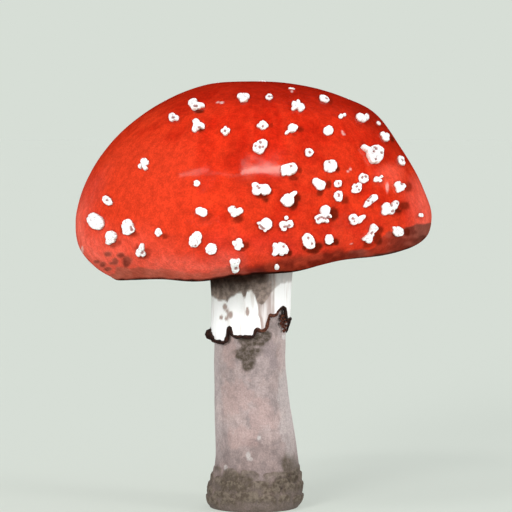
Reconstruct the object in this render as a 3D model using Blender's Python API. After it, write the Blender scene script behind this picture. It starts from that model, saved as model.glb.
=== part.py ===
# Fly agaric mushroom, picked, standing on the flat cut across its bulb.
# Metres, +Z up. The front faces -Y. The origin is the centre of the cut face.

import math
import random

import bpy
import numpy as np
from mathutils import Vector
from mathutils.bvhtree import BVHTree

MM = 0.001
GAP = 0.3 * MM  # left between two pieces that touch

# The cap. Each profile runs down the skin from the crown, round the margin and in to the lip:
# distance from the cap's axis, height above the foot, in mm. The left side hangs lower than the right.
CAP_AXIS_X = -0.8 * MM
LEFT_PROFILE = [(0, 143), (15.5, 141.8), (30.1, 136), (41.5, 128), (51.9, 116),
                (57.5, 104), (58.9, 97), (57.5, 87.2), (52.6, 81.7), (46.7, 78.3)]
RIGHT_PROFILE = [(0, 143), (14.8, 142), (30.8, 137.7), (40.3, 133.2), (50.2, 120.5),
                 (57.4, 107.5), (60.3, 97.6), (59, 91.7), (54.2, 87.9), (46.7, 87.2)]
CAP_COLUMNS = 56
CAP_ROWS = 22
MARGIN_REACH = 60 * MM  # the distance from the axis where the waves have their full size
MARGIN_WAVES = [(2, 0.010, 0.6), (3, 0.012, 2.1), (5, 0.006, 4.0)]  # lobes, share of the radius, phase
MARGIN_FADE = 14 * MM  # height above the lip over which the waves die away

# The plane that the lip and the gills keep to, which rises to the right.
LIP_HEIGHT = 83 * MM  # at the cap's axis
LIP_RISE = (RIGHT_PROFILE[-1][1] - LEFT_PROFILE[-1][1]) / 2 / LEFT_PROFILE[-1][0]
# How much lower the lip hangs than its plane: degrees round from the right by way of the back, mm.
LIP_DROOP = [(0, 0), (45, 0.5), (90, 1.9), (135, 0.5), (180, 0.2), (197, 1.1), (215, 0.7), (232, 0.6),
             (248, 1.9), (268, 1.1), (288, 1.6), (304, 0), (325, 0.3), (345, 0), (360, 0)]
LIP_ROLL = [(1.3, 0.5), (2.1, 1.6), (2.4, 3.2)]  # inwards from the lip and up, in mm
# The gill bed, a dome in the cap's flesh: distance from the axis, height above the plane of the lip, in mm.
BED_BEND = 36
GILL_BED = [(0, 33), (13, 32.5), (BED_BEND, 24.5), (47.5, 11)]

# Warts of the torn veil, as an eye in front of the mushroom sees them against an upright plane
# through the stem: how far right of the foot's centre, how high, how wide and how tall, in mm.
EYE = (0, -998 * MM, 154 * MM)
FRONT_WARTS = [
    (-19, 135, 5, 3.4), (-27, 131, 3.4, 3), (-19, 128, 3.6, 3.8), (-10, 126, 3, 3), (-4, 137, 3.8, 3),
    (5, 138, 2.4, 2.4), (15, 135, 4.4, 3.8), (24, 137, 3.2, 3.2), (3, 128, 3.6, 3), (12, 127, 3.6, 3.2),
    (25, 126, 3.2, 3.2), (30, 131, 2.6, 2), (36, 131, 4.8, 3.4), (42, 129, 2, 2), (44, 124, 3.6, 3.4),
    (2, 121, 5, 4.6), (18, 119, 2.6, 2.6), (41, 118.5, 6.4, 6), (49, 117, 2.8, 3.6), (-37, 115, 3.4, 3.4),
    (26, 114, 4.8, 4.4), (12, 113.5, 5.4, 4.2), (37, 111, 3, 3), (42, 110, 3, 2.4), (-19, 109, 2.2, 2.2),
    (22, 109, 4.2, 3.6), (28, 109, 2.4, 2.4), (34.5, 107, 3.4, 3.6), (2, 107, 6, 4.4), (49, 108, 3.6, 3.6),
    (28, 105, 3, 3.4), (12, 104, 5.2, 4.8), (39, 103, 4, 4), (-49, 103, 2.8, 3.4), (46, 101, 5.6, 4.4),
    (-18, 99, 3.8, 2.8), (-6, 99.5, 4.4, 3.6), (23.5, 98.5, 5.8, 5.8), (34.5, 97, 5, 3.6), (56, 98, 2.4, 1.6),
    (-53, 96, 5.2, 5.6), (11, 95, 4.8, 4.8), (4, 94.5, 5, 4.6), (-42, 94, 4, 4.6), (39, 92, 4.6, 6),
    (48.5, 93, 3.4, 3), (-32, 92.5, 2.4, 2.8), (-48, 91, 3.6, 4), (-20, 90, 4, 4.6), (25, 90, 2.8, 3.2),
    (18, 89.5, 4.4, 5.2), (-5, 88.5, 3.6, 3.6), (-14, 87, 3.6, 3.6), (9, 86.5, 5.4, 4), (-38, 86, 2.8, 4),
    (-6, 81, 3, 4),
]
# Low warts over the crown, seen from above: how far right, how far back and how wide, in mm.
CROWN_WARTS = [(12.4, -16, 2.4), (-13, 9, 3.4), (3, 8, 3), (18, 10, 3.4), (-29, 8, 3), (32, 9, 3),
               (-4, 17, 4.2), (11, 18, 3.6), (-21, 18, 4), (26, 20, 4.2), (-35, 17, 3.6)]
BACK_WARTS = 40
BACK_WART_SIZES = (2.4, 6.0)  # smallest and largest, in mm
BACK_WARTS_FROM = 22 * MM  # how far behind the axis they start
WART_RISE = 0.36  # height, as a share of the width
CROWN_RISE = 0.14
WART_SPACING = 3 * MM
WART_ROOT = 1 * MM  # how deep a wart goes into the flesh
SMALL_WART = 3 * MM
# The steps of a wart from root to top: share of its rise, share of its width.
WART_STEPS = [(0.55, 0.88), (1, 0.42)]
SMALL_WART_STEPS = [(0.7, 0.7)]
WART_SEED = 11

# The gills: distances from the axis, in mm, where the three lengths of gill start and all end.
GILL_SECTORS = 36  # each holds one whole gill, one half gill and two short ones
WHOLE_GILL, HALF_GILL, SHORT_GILL = 13.8, 22, 33
GILL_END = 43.6  # at the free edge
GILL_ROOT_END = 46.5  # at the bed
GILL_SLOPE = 4  # over what distance a shorter gill comes down to the free edge
GILL_THICK = 0.7 * MM
GILL_ROOF = 1.2 * MM
GILL_SINK = 0.9  # how far below the bed a gill's top lies, inside the roof, in mm
# The free edge of the gills: distance from the axis, height above the plane of the lip, in mm.
GILL_EDGE = [(WHOLE_GILL, 25), (17, 18), (36, 9.5), (GILL_END, 3.2)]

# The stem: height and radius, then height and sideways lean of its middle, in mm.
STEM_RADII = [(0, 15), (1.2, 15.7), (4, 16), (8, 15.4), (12, 14.5), (16, 14.0), (22, 13.6),
              (32, 12.95), (43, 12.25), (55, 12.0), (70, 12.1), (84, 12.2), (100, 12.2), (115.2, 12.2)]
STEM_LEAN = [(0, 0), (6, 0.5), (14, 1.0), (32, -0.4), (50, -1.4), (70, -0.9), (84, -0.8), (115.2, -0.8)]
STEM_COLUMNS = 48
STEM_TILT = (86, 100)  # between these heights the stem takes on the tilt of the lip's plane
BULB_LEVELS = [3 + 1.15 * i for i in range(11)]
STEM_LEVELS = [0, 1.2, *BULB_LEVELS, 17, 22, 30, 40, 50, 60, 72, 84, 100, 115.2]
# Rings of veil scales round the bulb: height, relief and half height in mm, scales, phase.
BULB_RINGS = [(12.2, 1.3, 1.25, 13, 0.4), (8.4, 1.2, 1.2, 14, 1.7), (4.7, 0.9, 1.1, 13, 2.9)]

# The skirt, a sleeve of veil that clings to the stem below the gills.
SKIRT_TOP = 92
SKIRT_COLUMNS = 72
SKIRT_CLEAR = 0.4  # from the stem, in mm
SKIRT_PLEATS = (11, 0.12)  # how many, and their relief in mm
SKIRT_SHARES = [0, 0.08, 0.33, 0.65, 0.94, 1]  # of the way from the hem to the top
# Its torn hem seen from the front: degrees round from the right side, height in mm.
SKIRT_HEM = [(0, 62.9), (14, 62.9), (26, 63.5), (32, 67.6), (44, 67.6), (54, 66), (62, 64.4), (70, 60.3),
             (81, 60.5), (89, 58.5), (116, 57.8), (124, 61.8), (134, 55.2), (150, 57.2), (168, 57), (180, 58),
             (196, 62), (206, 57.5), (222, 55.8), (236, 60.6), (250, 58), (270, 60.4), (284, 56.6),
             (300, 61.8), (316, 60), (330, 65), (346, 61)]
# Share of the way from the hem to the top, how far the outer face stands off the stem, in mm.
SKIRT_FACE = [(0, 1.75), (0.08, 1.45), (0.33, 1.4), (0.65, 1.95), (1, 1.5)]


def make_material(name, colour, roughness):
    material = bpy.data.materials.new(name)
    material.use_nodes = True
    shader = material.node_tree.nodes["Principled BSDF"]
    shader.inputs["Base Color"].default_value = (*colour, 1)
    shader.inputs["Roughness"].default_value = roughness
    shader.inputs["Metallic"].default_value = 0
    return material


def make_object(name, points, faces, material):
    mesh = bpy.data.meshes.new(name)
    mesh.from_pydata([tuple(point) for point in points], [], faces)
    mesh.materials.append(material)
    mesh.shade_smooth()
    mesh.set_sharp_from_angle(angle=math.radians(50))
    new = bpy.data.objects.new(name, mesh)
    bpy.context.scene.collection.objects.link(new)
    return new


def join_into(body, pieces):
    # One Boolean union of the body with all the pieces, which are then removed.
    group = bpy.data.collections.new(body.name + "_pieces")
    bpy.context.scene.collection.children.link(group)
    for piece in pieces:
        bpy.context.scene.collection.objects.unlink(piece)
        group.objects.link(piece)
    union = body.modifiers.new("join", "BOOLEAN")
    union.operation = "UNION"
    union.operand_type = "COLLECTION"
    union.collection = group
    union.solver = "EXACT"
    bpy.context.view_layer.update()
    joined = bpy.data.meshes.new_from_object(body.evaluated_get(bpy.context.evaluated_depsgraph_get()))
    body.modifiers.clear()
    body.data = joined
    for piece in pieces:
        bpy.data.objects.remove(piece)
    bpy.data.collections.remove(group)


def curve_through(points, steps, flat_start=False):
    # A smooth curve through the points: a cubic between each two, with the slope at a point taken
    # from its neighbours. steps are counted in points, so 1.5 is halfway from the second to the third.
    points = np.array(points, float)
    gaps = np.maximum(np.linalg.norm(np.diff(points, axis=0), axis=1), 1e-9)
    along = np.concatenate([[0], np.cumsum(gaps)])
    slopes = np.gradient(points, along, axis=0)
    if flat_start:
        slopes[0] = (1, 0)
    steps = np.asarray(steps, float)
    low = np.clip(steps.astype(int), 0, len(points) - 2)
    u = (steps - low)[:, None]
    gap = gaps[low][:, None]
    return (
        (1 + 2 * u) * (1 - u) ** 2 * points[low]
        + u * (1 - u) ** 2 * gap * slopes[low]
        + u * u * (3 - 2 * u) * points[low + 1]
        + u * u * (u - 1) * gap * slopes[low + 1]
    )


def value_at(pairs, where):
    # Reads a list of (place, value) pairs between its entries.
    places, values = zip(*pairs)
    return float(np.interp(where, places, values))


def smooth_value_at(pairs, where):
    # The same, along a smooth curve.
    places, _ = zip(*pairs)
    step = np.interp(where, places, range(len(places)))
    return float(curve_through(pairs, [step])[0, 1])


def even_steps(points, count):
    # Steps for curve_through that lie at even distances along the outline.
    fine = np.linspace(0, len(points) - 1, 400)
    line = curve_through(points, fine)
    along = np.concatenate([[0], np.cumsum(np.linalg.norm(np.diff(line, axis=0), axis=1))])
    return np.interp(np.linspace(0, along[-1], count), along, fine)


def ring_faces(first, second, columns):
    # Quads between two rings of points, each given by the number of its first point.
    return [
        (first + i, first + (i + 1) % columns, second + (i + 1) % columns, second + i)
        for i in range(columns)
    ]


def lip_plane(x):
    return LIP_HEIGHT + LIP_RISE * (x - CAP_AXIS_X)


def cap_outline(angle, steps):
    # The skin's outline in one direction: between the two drawn profiles, with a gentle wave in the
    # margin that dies away at the left and right sides, at the crown and at the lip.
    right = (1 + math.cos(angle)) / 2
    profile = right * np.array(RIGHT_PROFILE) + (1 - right) * np.array(LEFT_PROFILE)
    line = curve_through(profile, steps, flat_start=True) * MM
    wave = sum(size * math.sin(lobes * angle + phase) for lobes, size, phase in MARGIN_WAVES)
    outward = np.clip(line[:, 0] / MARGIN_REACH, 0, 1) ** 2
    above_lip = np.clip((line[:, 1] - line[-1, 1]) / MARGIN_FADE, 0, 1)
    line[:, 0] *= 1 + wave * math.sin(angle) ** 2 * outward * above_lip
    line[:, 1] -= smooth_value_at(LIP_DROOP, math.degrees(angle)) * MM * (1 - above_lip)
    return line


def make_cap(material):
    # One closed skin: crown, sides, margin, lip, up the inside of the lip and across the gill bed.
    steps = even_steps(LEFT_PROFILE, CAP_ROWS)[1:]
    crown = Vector((CAP_AXIS_X, 0, LEFT_PROFILE[0][1] * MM))
    points = [crown]
    columns = []
    for i in range(CAP_COLUMNS):
        angle = 2 * math.pi * i / CAP_COLUMNS
        line = [tuple(pair) for pair in cap_outline(angle, steps)]
        lip_r, lip_z = line[-1]
        line += [(lip_r - inward * MM, lip_z + up * MM) for inward, up in LIP_ROLL]
        for distance, height in GILL_BED[:0:-1]:
            r = distance * MM
            line.append((r, lip_plane(CAP_AXIS_X + r * math.cos(angle)) + height * MM))
        columns.append([(CAP_AXIS_X + r * math.cos(angle), r * math.sin(angle), z) for r, z in line])
    rows = len(columns[0])
    for row in range(rows):
        points += [column[row] for column in columns]
    bed_middle = Vector((CAP_AXIS_X, 0, LIP_HEIGHT + GILL_BED[0][1] * MM))
    points.append(bed_middle)
    last = 1 + (rows - 1) * CAP_COLUMNS
    faces = [(0, 1 + i, 1 + (i + 1) % CAP_COLUMNS) for i in range(CAP_COLUMNS)]
    for row in range(rows - 1):
        faces += ring_faces(1 + (row + 1) * CAP_COLUMNS, 1 + row * CAP_COLUMNS, CAP_COLUMNS)
    faces += [(len(points) - 1, last + (i + 1) % CAP_COLUMNS, last + i) for i in range(CAP_COLUMNS)]
    return make_object("cap", points, faces, material)


def wart_places(cap):
    # Where each wart sits: point on the skin, direction out of it, width, height and rise.
    skin = BVHTree.FromObject(cap, bpy.context.evaluated_depsgraph_get())
    draw = random.Random(WART_SEED)
    eye = Vector(EYE)
    places = []
    for x, z, wide, tall in FRONT_WARTS:
        point, normal, *_ = skin.ray_cast(eye, (Vector((x * MM, 0, z * MM)) - eye).normalized())
        places.append((point, normal, wide * MM, tall * MM, WART_RISE * (wide + tall) / 2 * MM))
    for x, y, wide in CROWN_WARTS:
        point, normal, *_ = skin.ray_cast(Vector((x * MM, y * MM, 1)), Vector((0, 0, -1)))
        places.append((point, normal, wide * MM, wide * MM, CROWN_RISE * wide * MM))
    # Behind, directions turn by the golden angle, and a wart that would crowd another is left out.
    middle = Vector((CAP_AXIS_X, 0, LIP_HEIGHT + 14 * MM))
    golden_angle = math.pi * (3 - math.sqrt(5))
    turn = 0
    wanted = len(places) + BACK_WARTS
    while len(places) < wanted:
        turn += 1
        rise = draw.uniform(-0.12, 1.0)
        angle = turn * golden_angle + draw.uniform(-0.3, 0.3)
        flat = math.sqrt(1 - rise * rise)
        away = Vector((flat * math.cos(angle), flat * math.sin(angle), rise))
        point, normal, *_ = skin.ray_cast(middle + away, -away)
        wide = draw.uniform(*BACK_WART_SIZES) * MM
        tall = wide * draw.uniform(0.75, 1.1)
        clear = all((point - other[0]).length > WART_SPACING + 0.6 * (wide + other[2]) for other in places)
        if point.y > BACK_WARTS_FROM and clear:
            places.append((point, normal, wide, tall, WART_RISE * (wide + tall) / 2))
    return places


def make_wart(number, place, draw, material):
    # A low crumb with an uneven outline: a sunk root, a shoulder and a blunt top.
    point, out, wide, tall, rise = place
    across = Vector((0, 0, 1)).cross(out)
    across = across.normalized() if across.length > 0.05 else Vector((1, 0, 0))
    up = out.cross(across).normalized()
    sides = 7 if wide > SMALL_WART else 6
    steps = WART_STEPS if wide > SMALL_WART else SMALL_WART_STEPS
    levels = [(-WART_ROOT, 0.92)] + [(share * rise, width) for share, width in steps]
    reach = [draw.uniform(0.8, 1.18) for _ in range(sides)]
    start = draw.uniform(0, math.tau)
    points = []
    for level, share in levels:
        for i in range(sides):
            angle = start + math.tau * i / sides
            side = across * math.cos(angle) * wide / 2 + up * math.sin(angle) * tall / 2
            points.append(point + side * share * reach[i] + out * level)
    points.append(point + out * (levels[-1][0] + 0.08 * rise))
    top = len(points) - 1
    last = (len(levels) - 1) * sides
    faces = [tuple(range(sides))[::-1]]
    for level in range(len(levels) - 1):
        faces += ring_faces(level * sides, (level + 1) * sides, sides)
    faces += [(last + i, last + (i + 1) % sides, top) for i in range(sides)]
    return make_object(f"wart_{number}", points, faces, material)


def turned_ring(name, profile, columns, material):
    # A closed outline carried round the cap's axis and lifted with the plane of the lip.
    points = []
    for r, height in profile:
        for i in range(columns):
            angle = math.tau * i / columns
            x = CAP_AXIS_X + r * math.cos(angle)
            points.append((x, r * math.sin(angle), lip_plane(x) + height))
    rows = len(profile)
    faces = []
    for row in range(rows):
        faces += ring_faces(row * columns, ((row + 1) % rows) * columns, columns)
    return make_object(name, points, faces, material)


def bed_height(distance):
    return value_at(GILL_BED, distance) * MM - GAP


def make_gill_roof(material):
    # The thin layer that all the gills hang from, open in the middle for the stem.
    hole = STEM_RADII[-1][1] + 0.4
    stations = [hole, BED_BEND, GILL_ROOT_END]
    top = [(d * MM, bed_height(d)) for d in stations]
    under = [(r, height - GILL_ROOF) for r, height in top]
    return turned_ring("gills", under + top[::-1], GILL_SECTORS * 2, material)


def make_gill(number, start, angle, material):
    # A flat blade in a plane through the cap's axis, its top sunk in the roof. A gill that starts
    # away from the stem slopes down from the roof to the free edge.
    outline = GILL_EDGE
    if start > WHOLE_GILL:
        down = start + GILL_SLOPE
        outline = [(start, value_at(GILL_BED, start) - GILL_SINK - 0.2), (down, value_at(GILL_EDGE, down))]
        outline += [(distance, height) for distance, height in GILL_EDGE if distance > down]
    top = [distance for distance in (GILL_ROOT_END - 0.6, BED_BEND, start) if distance >= start]
    outline = outline + [(distance, value_at(GILL_BED, distance) - GILL_SINK) for distance in top]
    along = Vector((math.cos(angle), math.sin(angle), 0))
    aside = Vector((-math.sin(angle), math.cos(angle), 0)) * GILL_THICK / 2
    points = []
    for side in (-1, 1):
        for distance, height in outline:
            flat = along * distance * MM + aside * side + Vector((CAP_AXIS_X, 0, 0))
            points.append((flat.x, flat.y, lip_plane(flat.x) + height * MM))
    count = len(outline)
    faces = [tuple(range(count)), tuple(range(2 * count - 1, count - 1, -1))]
    faces += [(i, i + count, (i + 1) % count + count, (i + 1) % count) for i in range(count)]
    return make_object(f"gill_{number}", points, faces, material)


def make_gills(material):
    # Round the stem: whole, short, half, short gill in every sector.
    roof = make_gill_roof(material)
    starts = [WHOLE_GILL, SHORT_GILL, HALF_GILL, SHORT_GILL]
    count = GILL_SECTORS * len(starts)
    blades = []
    for i in range(count):
        blades.append(make_gill(i, starts[i % len(starts)], math.tau * (i + 0.25) / count, material))
    join_into(roof, blades)
    return roof


def stem_centre(height):
    return smooth_value_at(STEM_LEAN, height) * MM


def stem_radius(height):
    return smooth_value_at(STEM_RADII, height) * MM


def bulb_relief(height, angle):
    # Broken rings of scales: a hump across each ring, cut into scales round it.
    relief = 0
    for level, size, half, scales, phase in BULB_RINGS:
        middle = level + 0.6 * math.sin(2 * angle + phase) + 0.3 * math.sin(5 * angle + 2 * phase)
        hump = math.exp(-(((height - middle) / half) ** 2))
        relief += size * hump * (0.5 + 0.5 * math.cos(scales * angle + phase))
    return relief * MM


def make_stem(material):
    # A turned column that leans, with the veil's scales raised from its bulb.
    low, high = STEM_TILT
    points = [Vector((0, 0, 0))]
    for height in STEM_LEVELS:
        radius = stem_radius(height)
        lift = min(max((height - low) / (high - low), 0), 1)
        for i in range(STEM_COLUMNS):
            angle = math.tau * i / STEM_COLUMNS
            reach = radius + (bulb_relief(height, angle) if height > 0 else 0)
            x = stem_centre(height) + reach * math.cos(angle)
            points.append((x, reach * math.sin(angle), height * MM + lift * LIP_RISE * (x - CAP_AXIS_X)))
    points.append(Vector((CAP_AXIS_X, 0, STEM_LEVELS[-1] * MM)))
    rows = len(STEM_LEVELS)
    last = 1 + (rows - 1) * STEM_COLUMNS
    faces = [(0, 1 + (i + 1) % STEM_COLUMNS, 1 + i) for i in range(STEM_COLUMNS)]
    for row in range(rows - 1):
        faces += ring_faces(1 + row * STEM_COLUMNS, 1 + (row + 1) * STEM_COLUMNS, STEM_COLUMNS)
    faces += [(last + i, last + (i + 1) % STEM_COLUMNS, len(points) - 1) for i in range(STEM_COLUMNS)]
    return make_object("stem", points, faces, material)


def make_skirt(material):
    # A sleeve round the stem: up the outer face from the torn hem, over the top and down the inner face.
    hem = SKIRT_HEM + [(360, SKIRT_HEM[0][1])]
    pleats, relief = SKIRT_PLEATS
    columns = []
    for i in range(SKIRT_COLUMNS):
        turn = 360 * i / SKIRT_COLUMNS
        low = value_at(hem, (360 - turn) % 360)
        angle = math.radians(turn)
        outline = []
        for share in SKIRT_SHARES:
            stand_off = value_at(SKIRT_FACE, share) + relief * math.sin(pleats * angle)
            outline.append((low + share * (SKIRT_TOP - low), stand_off))
        outline.append((SKIRT_TOP + 0.8, (SKIRT_FACE[-1][1] + SKIRT_CLEAR) / 2))
        outline += [(height, SKIRT_CLEAR) for height in (SKIRT_TOP + 0.5, (SKIRT_TOP + low) / 2, low + 0.3)]
        column = []
        for height, stand_off in outline:
            reach = stem_radius(height) + stand_off * MM
            x = stem_centre(height) + reach * math.cos(angle)
            column.append((x, reach * math.sin(angle), height * MM))
        columns.append(column)
    rows = len(columns[0])
    points = [column[row] for row in range(rows) for column in columns]
    faces = []
    for row in range(rows):
        faces += ring_faces(row * SKIRT_COLUMNS, ((row + 1) % rows) * SKIRT_COLUMNS, SKIRT_COLUMNS)
    return make_object("skirt", points, faces, material)


def main():
    for old in list(bpy.data.objects):
        bpy.data.objects.remove(old)
    red_skin = make_material("red_skin", (0.76, 0.05, 0.02), 0.35)
    gill_white = make_material("gill_white", (0.86, 0.82, 0.72), 0.7)
    veil_white = make_material("veil_white", (0.9, 0.88, 0.85), 0.75)
    stem_flesh = make_material("stem_flesh", (0.5, 0.38, 0.36), 0.7)

    cap = make_cap(red_skin)
    draw = random.Random(WART_SEED + 1)
    warts = [make_wart(i, place, draw, red_skin) for i, place in enumerate(wart_places(cap))]
    join_into(cap, warts)
    make_gills(gill_white)
    make_stem(stem_flesh)
    make_skirt(veil_white)


main()
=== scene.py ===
import math
import random

import bpy
import numpy as np
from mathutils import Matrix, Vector
from mathutils.bvhtree import BVHTree


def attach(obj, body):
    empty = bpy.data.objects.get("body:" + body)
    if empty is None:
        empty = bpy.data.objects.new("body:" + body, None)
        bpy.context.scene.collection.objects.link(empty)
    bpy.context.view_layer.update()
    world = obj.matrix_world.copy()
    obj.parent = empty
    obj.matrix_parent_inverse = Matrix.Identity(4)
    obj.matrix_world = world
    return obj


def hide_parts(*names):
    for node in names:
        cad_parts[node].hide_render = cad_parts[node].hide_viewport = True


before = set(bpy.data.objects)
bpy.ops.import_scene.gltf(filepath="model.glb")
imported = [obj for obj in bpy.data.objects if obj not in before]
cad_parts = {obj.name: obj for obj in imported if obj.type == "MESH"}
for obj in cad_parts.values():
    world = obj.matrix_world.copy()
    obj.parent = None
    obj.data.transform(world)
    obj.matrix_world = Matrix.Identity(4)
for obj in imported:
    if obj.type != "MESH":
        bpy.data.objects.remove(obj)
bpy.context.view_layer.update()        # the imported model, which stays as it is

mm = 0.001               # every shape below is worked out in millimetres

# The eye of the picture, in mm. A place "as seen" is where its sight line crosses the upright plane
# through the stem.
eye = np.array([0.7, -997.6, 154.2])


# Help for curves, noise and meshes

def splineThrough(points, steps, flatStart=False):
    # A smooth curve through points of shape (..., n, 2), read at steps counted in points, so 1.5 is halfway
    # from the second to the third. Cubic Hermite pieces, where the slope at a point is the mean of the
    # slopes beside it, each weighted by the length of the other.
    points = np.asarray(points, float)
    gaps = np.maximum(np.linalg.norm(np.diff(points, axis=-2), axis=-1), 1e-9)[..., None]
    rises = np.diff(points, axis=-2) / gaps
    before, after = gaps[..., :-1, :], gaps[..., 1:, :]
    middle = (after * rises[..., :-1, :] + before * rises[..., 1:, :]) / (before + after)
    slopes = np.concatenate([rises[..., :1, :], middle, rises[..., -1:, :]], axis=-2)
    if flatStart:
        slopes[..., 0, :] = (1, 0)
    steps = np.asarray(steps, float)
    low = np.clip(steps.astype(int), 0, points.shape[-2] - 2)
    u = (steps - low)[:, None]
    gap = gaps[..., low, :]
    return ((1 + 2 * u) * (1 - u) ** 2 * points[..., low, :] + u * (1 - u) ** 2 * gap * slopes[..., low, :]
            + u * u * (3 - 2 * u) * points[..., low + 1, :] + u * u * (u - 1) * gap * slopes[..., low + 1, :])


def smoothValue(pairs, where):
    # The second number of (place, value) pairs along a smooth curve through them.
    steps = np.interp(np.ravel(where), [place for place, _ in pairs], range(len(pairs)))
    return splineThrough(pairs, steps)[:, 1].reshape(np.shape(where))


def straightValue(pairs, where):
    # The same along straight lines.
    return np.interp(where, [place for place, _ in pairs], [value for _, value in pairs])


def smoothStep(low, high, value):
    # 0 up to low and 1 from high on, with 3s² - 2s³ between them. It falls where low is the larger.
    share = np.clip((np.asarray(value, float) - low) / (high - low), 0, 1)
    return share * share * (3 - 2 * share)


def cellNoise(points, size, seed=0):
    # Noise from -1 to 1: a mixed-up number at each corner of a cubic grid, joined by smooth steps.
    cells = np.asarray(points, float) / size
    base = np.floor(cells).astype(np.int64)
    part = cells - base
    part = part * part * (3 - 2 * part)
    total = np.zeros(part.shape[:-1])
    for corner in range(8):
        offset = np.array([corner & 1, corner >> 1 & 1, corner >> 2 & 1])
        key = (base + offset) @ np.array([73856093, 19349663, 83492791]) + seed * 374761393
        key = ((key ^ (key >> 13)) * 1274126177) & 0x7FFFFFFF
        number = ((key ^ (key >> 15)) & 0xFFFF) / 32767.5 - 1
        total += number * np.prod(np.where(offset, part, 1 - part), axis=-1)
    return total


def noiseSum(points, layers):
    # Layers of that noise added up, each given as the size of its patches, its seed and its share.
    return sum(share * cellNoise(points, size, seed) for size, seed, share in layers)


def gridFaces(rows, columns, first=0, loop=True, back=False):
    # Quads between the points of a grid that is numbered row by row. loop joins the last column to the first.
    i, j = np.meshgrid(np.arange(rows - 1), np.arange(columns if loop else columns - 1), indexing="ij")
    right = (j + 1) % columns
    here, below = i * columns, (i + 1) * columns
    quads = np.stack([here + j, here + right, below + right, below + j], -1).reshape(-1, 4) + first
    return quads[:, ::-1] if back else quads


def closingFaces(rows, columns):
    # Quads from the last row of a closed grid on to its first.
    quads = gridFaces(2, columns)
    return np.where(quads < columns, quads + (rows - 1) * columns, quads - columns)


def fanFaces(tip, first, count, back=False):
    # Triangles from one point to a closed ring of points.
    ring = np.arange(first, first + count)
    fan = np.stack([np.full(count, tip), ring, np.roll(ring, -1)], -1)
    return fan[:, ::-1] if back else fan


def gridNormals(grid):
    # Unit normals of a grid whose rows run down and whose columns close round.
    across = np.roll(grid, -1, axis=1) - np.roll(grid, 1, axis=1)
    normal = np.cross(np.gradient(grid, axis=0), across)
    return normal / np.maximum(np.linalg.norm(normal, axis=-1, keepdims=True), 1e-12)


def asSeen(points):
    # Across and up in the upright plane through the stem, where the eye sees each point.
    way = points - eye
    share = -eye[1] / way[..., 1]
    return eye[0] + way[..., 0] * share, eye[2] + way[..., 2] * share


def newObject(name, points, faces, material):
    # One smooth mesh at the origin, from points in mm and arrays of faces.
    mesh = bpy.data.meshes.new(name)
    points = np.asarray(points).reshape(-1, 3) * mm
    mesh.from_pydata(points.tolist(), [], [face for part in faces for face in part.tolist()])
    mesh.shade_smooth()
    mesh.materials.append(material)
    thing = bpy.data.objects.new(name, mesh)
    bpy.context.scene.collection.objects.link(thing)
    return thing


def addPiece(name, points, faces, material, replaced, values=None):
    # A piece of the mushroom, with named numbers for each of its points, that stands for a CAD node.
    piece = newObject(name, points, faces, material)
    for label, numbers in (values or {}).items():
        layer = piece.data.attributes.new(label, "FLOAT", "POINT")
        layer.data.foreach_set("value", np.ravel(numbers).astype(np.float32))
    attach(piece, "root")
    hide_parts(replaced)
    print(name, "built:", len(piece.data.polygons), "faces")
    return piece


# Help for materials

def paint(red, green, blue):
    # A screen colour, 0 to 255, as the colour that a shader takes.
    return (*(((part / 255 + 0.055) / 1.055) ** 2.4 for part in (red, green, blue)), 1)


def startMaterial(name, roughness, specular):
    # A new material with its node tree and its shader, of one roughness and one specular level.
    material = bpy.data.materials.new(name)
    material.use_nodes = True
    shader = material.node_tree.nodes["Principled BSDF"]
    shader.inputs["Roughness"].default_value = roughness
    shader.inputs["Specular IOR Level"].default_value = specular
    return material, material.node_tree, shader


def addNode(tree, kind, inputs=None, **settings):
    # A node with its settings. Each input is linked if it is given a socket, and set if it is a number.
    node = tree.nodes.new(kind)
    for name, setting in settings.items():
        setattr(node, name, setting)
    for name, value in (inputs or {}).items():
        if isinstance(value, bpy.types.NodeSocket):
            tree.links.new(value, node.inputs[name])
        else:
            node.inputs[name].default_value = value
    return node


def mixed(tree, share, first, second, how="MIX"):
    # Two colours mixed, each of them a socket or three numbers.
    first, second = ((*shade, 1) if isinstance(shade, tuple) else shade for shade in (first, second))
    inputs = {0: share, 6: first, 7: second}
    return addNode(tree, "ShaderNodeMix", inputs, data_type="RGBA", blend_type=how).outputs[2]


def sumOf(tree, first, second, how="ADD"):
    # first + second, or first times second where how is MULTIPLY.
    return addNode(tree, "ShaderNodeMath", {0: first, 1: second}, operation=how).outputs[0]


def faded(tree, value, low, high, start=0.0, end=1.0):
    # start up to low, end from high on, and a smooth step between.
    inputs = {"Value": value, "From Min": low, "From Max": high, "To Min": start, "To Max": end}
    return addNode(tree, "ShaderNodeMapRange", inputs, interpolation_type="SMOOTHSTEP").outputs[0]


def mottle(tree, place, size, detail=3.0, roughness=0.55, squeeze=None):
    # Noise with patches of about this many mm. squeeze scales the pattern's place along each axis.
    if squeeze:
        place = addNode(tree, "ShaderNodeMapping", {"Vector": place, "Scale": squeeze}).outputs[0]
    inputs = {"Vector": place, "Scale": 1 / (size * mm), "Detail": detail, "Roughness": roughness}
    return addNode(tree, "ShaderNodeTexNoise", inputs).outputs["Fac"]


def shaded(tree, colour, pattern, low, high, darkest, palest):
    # The colour times darkest where the pattern is low, up to times palest where it is high.
    return mixed(tree, 1.0, colour, faded(tree, pattern, low, high, darkest, palest), "MULTIPLY")


def pointValue(tree, name):
    # The number of this name that addPiece gave to the mesh's points.
    return addNode(tree, "ShaderNodeAttribute", attribute_name=name).outputs["Fac"]


def objectPlace(tree):
    # Where on the object each spot lies, in metres.
    return addNode(tree, "ShaderNodeTexCoord").outputs["Object"]


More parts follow.
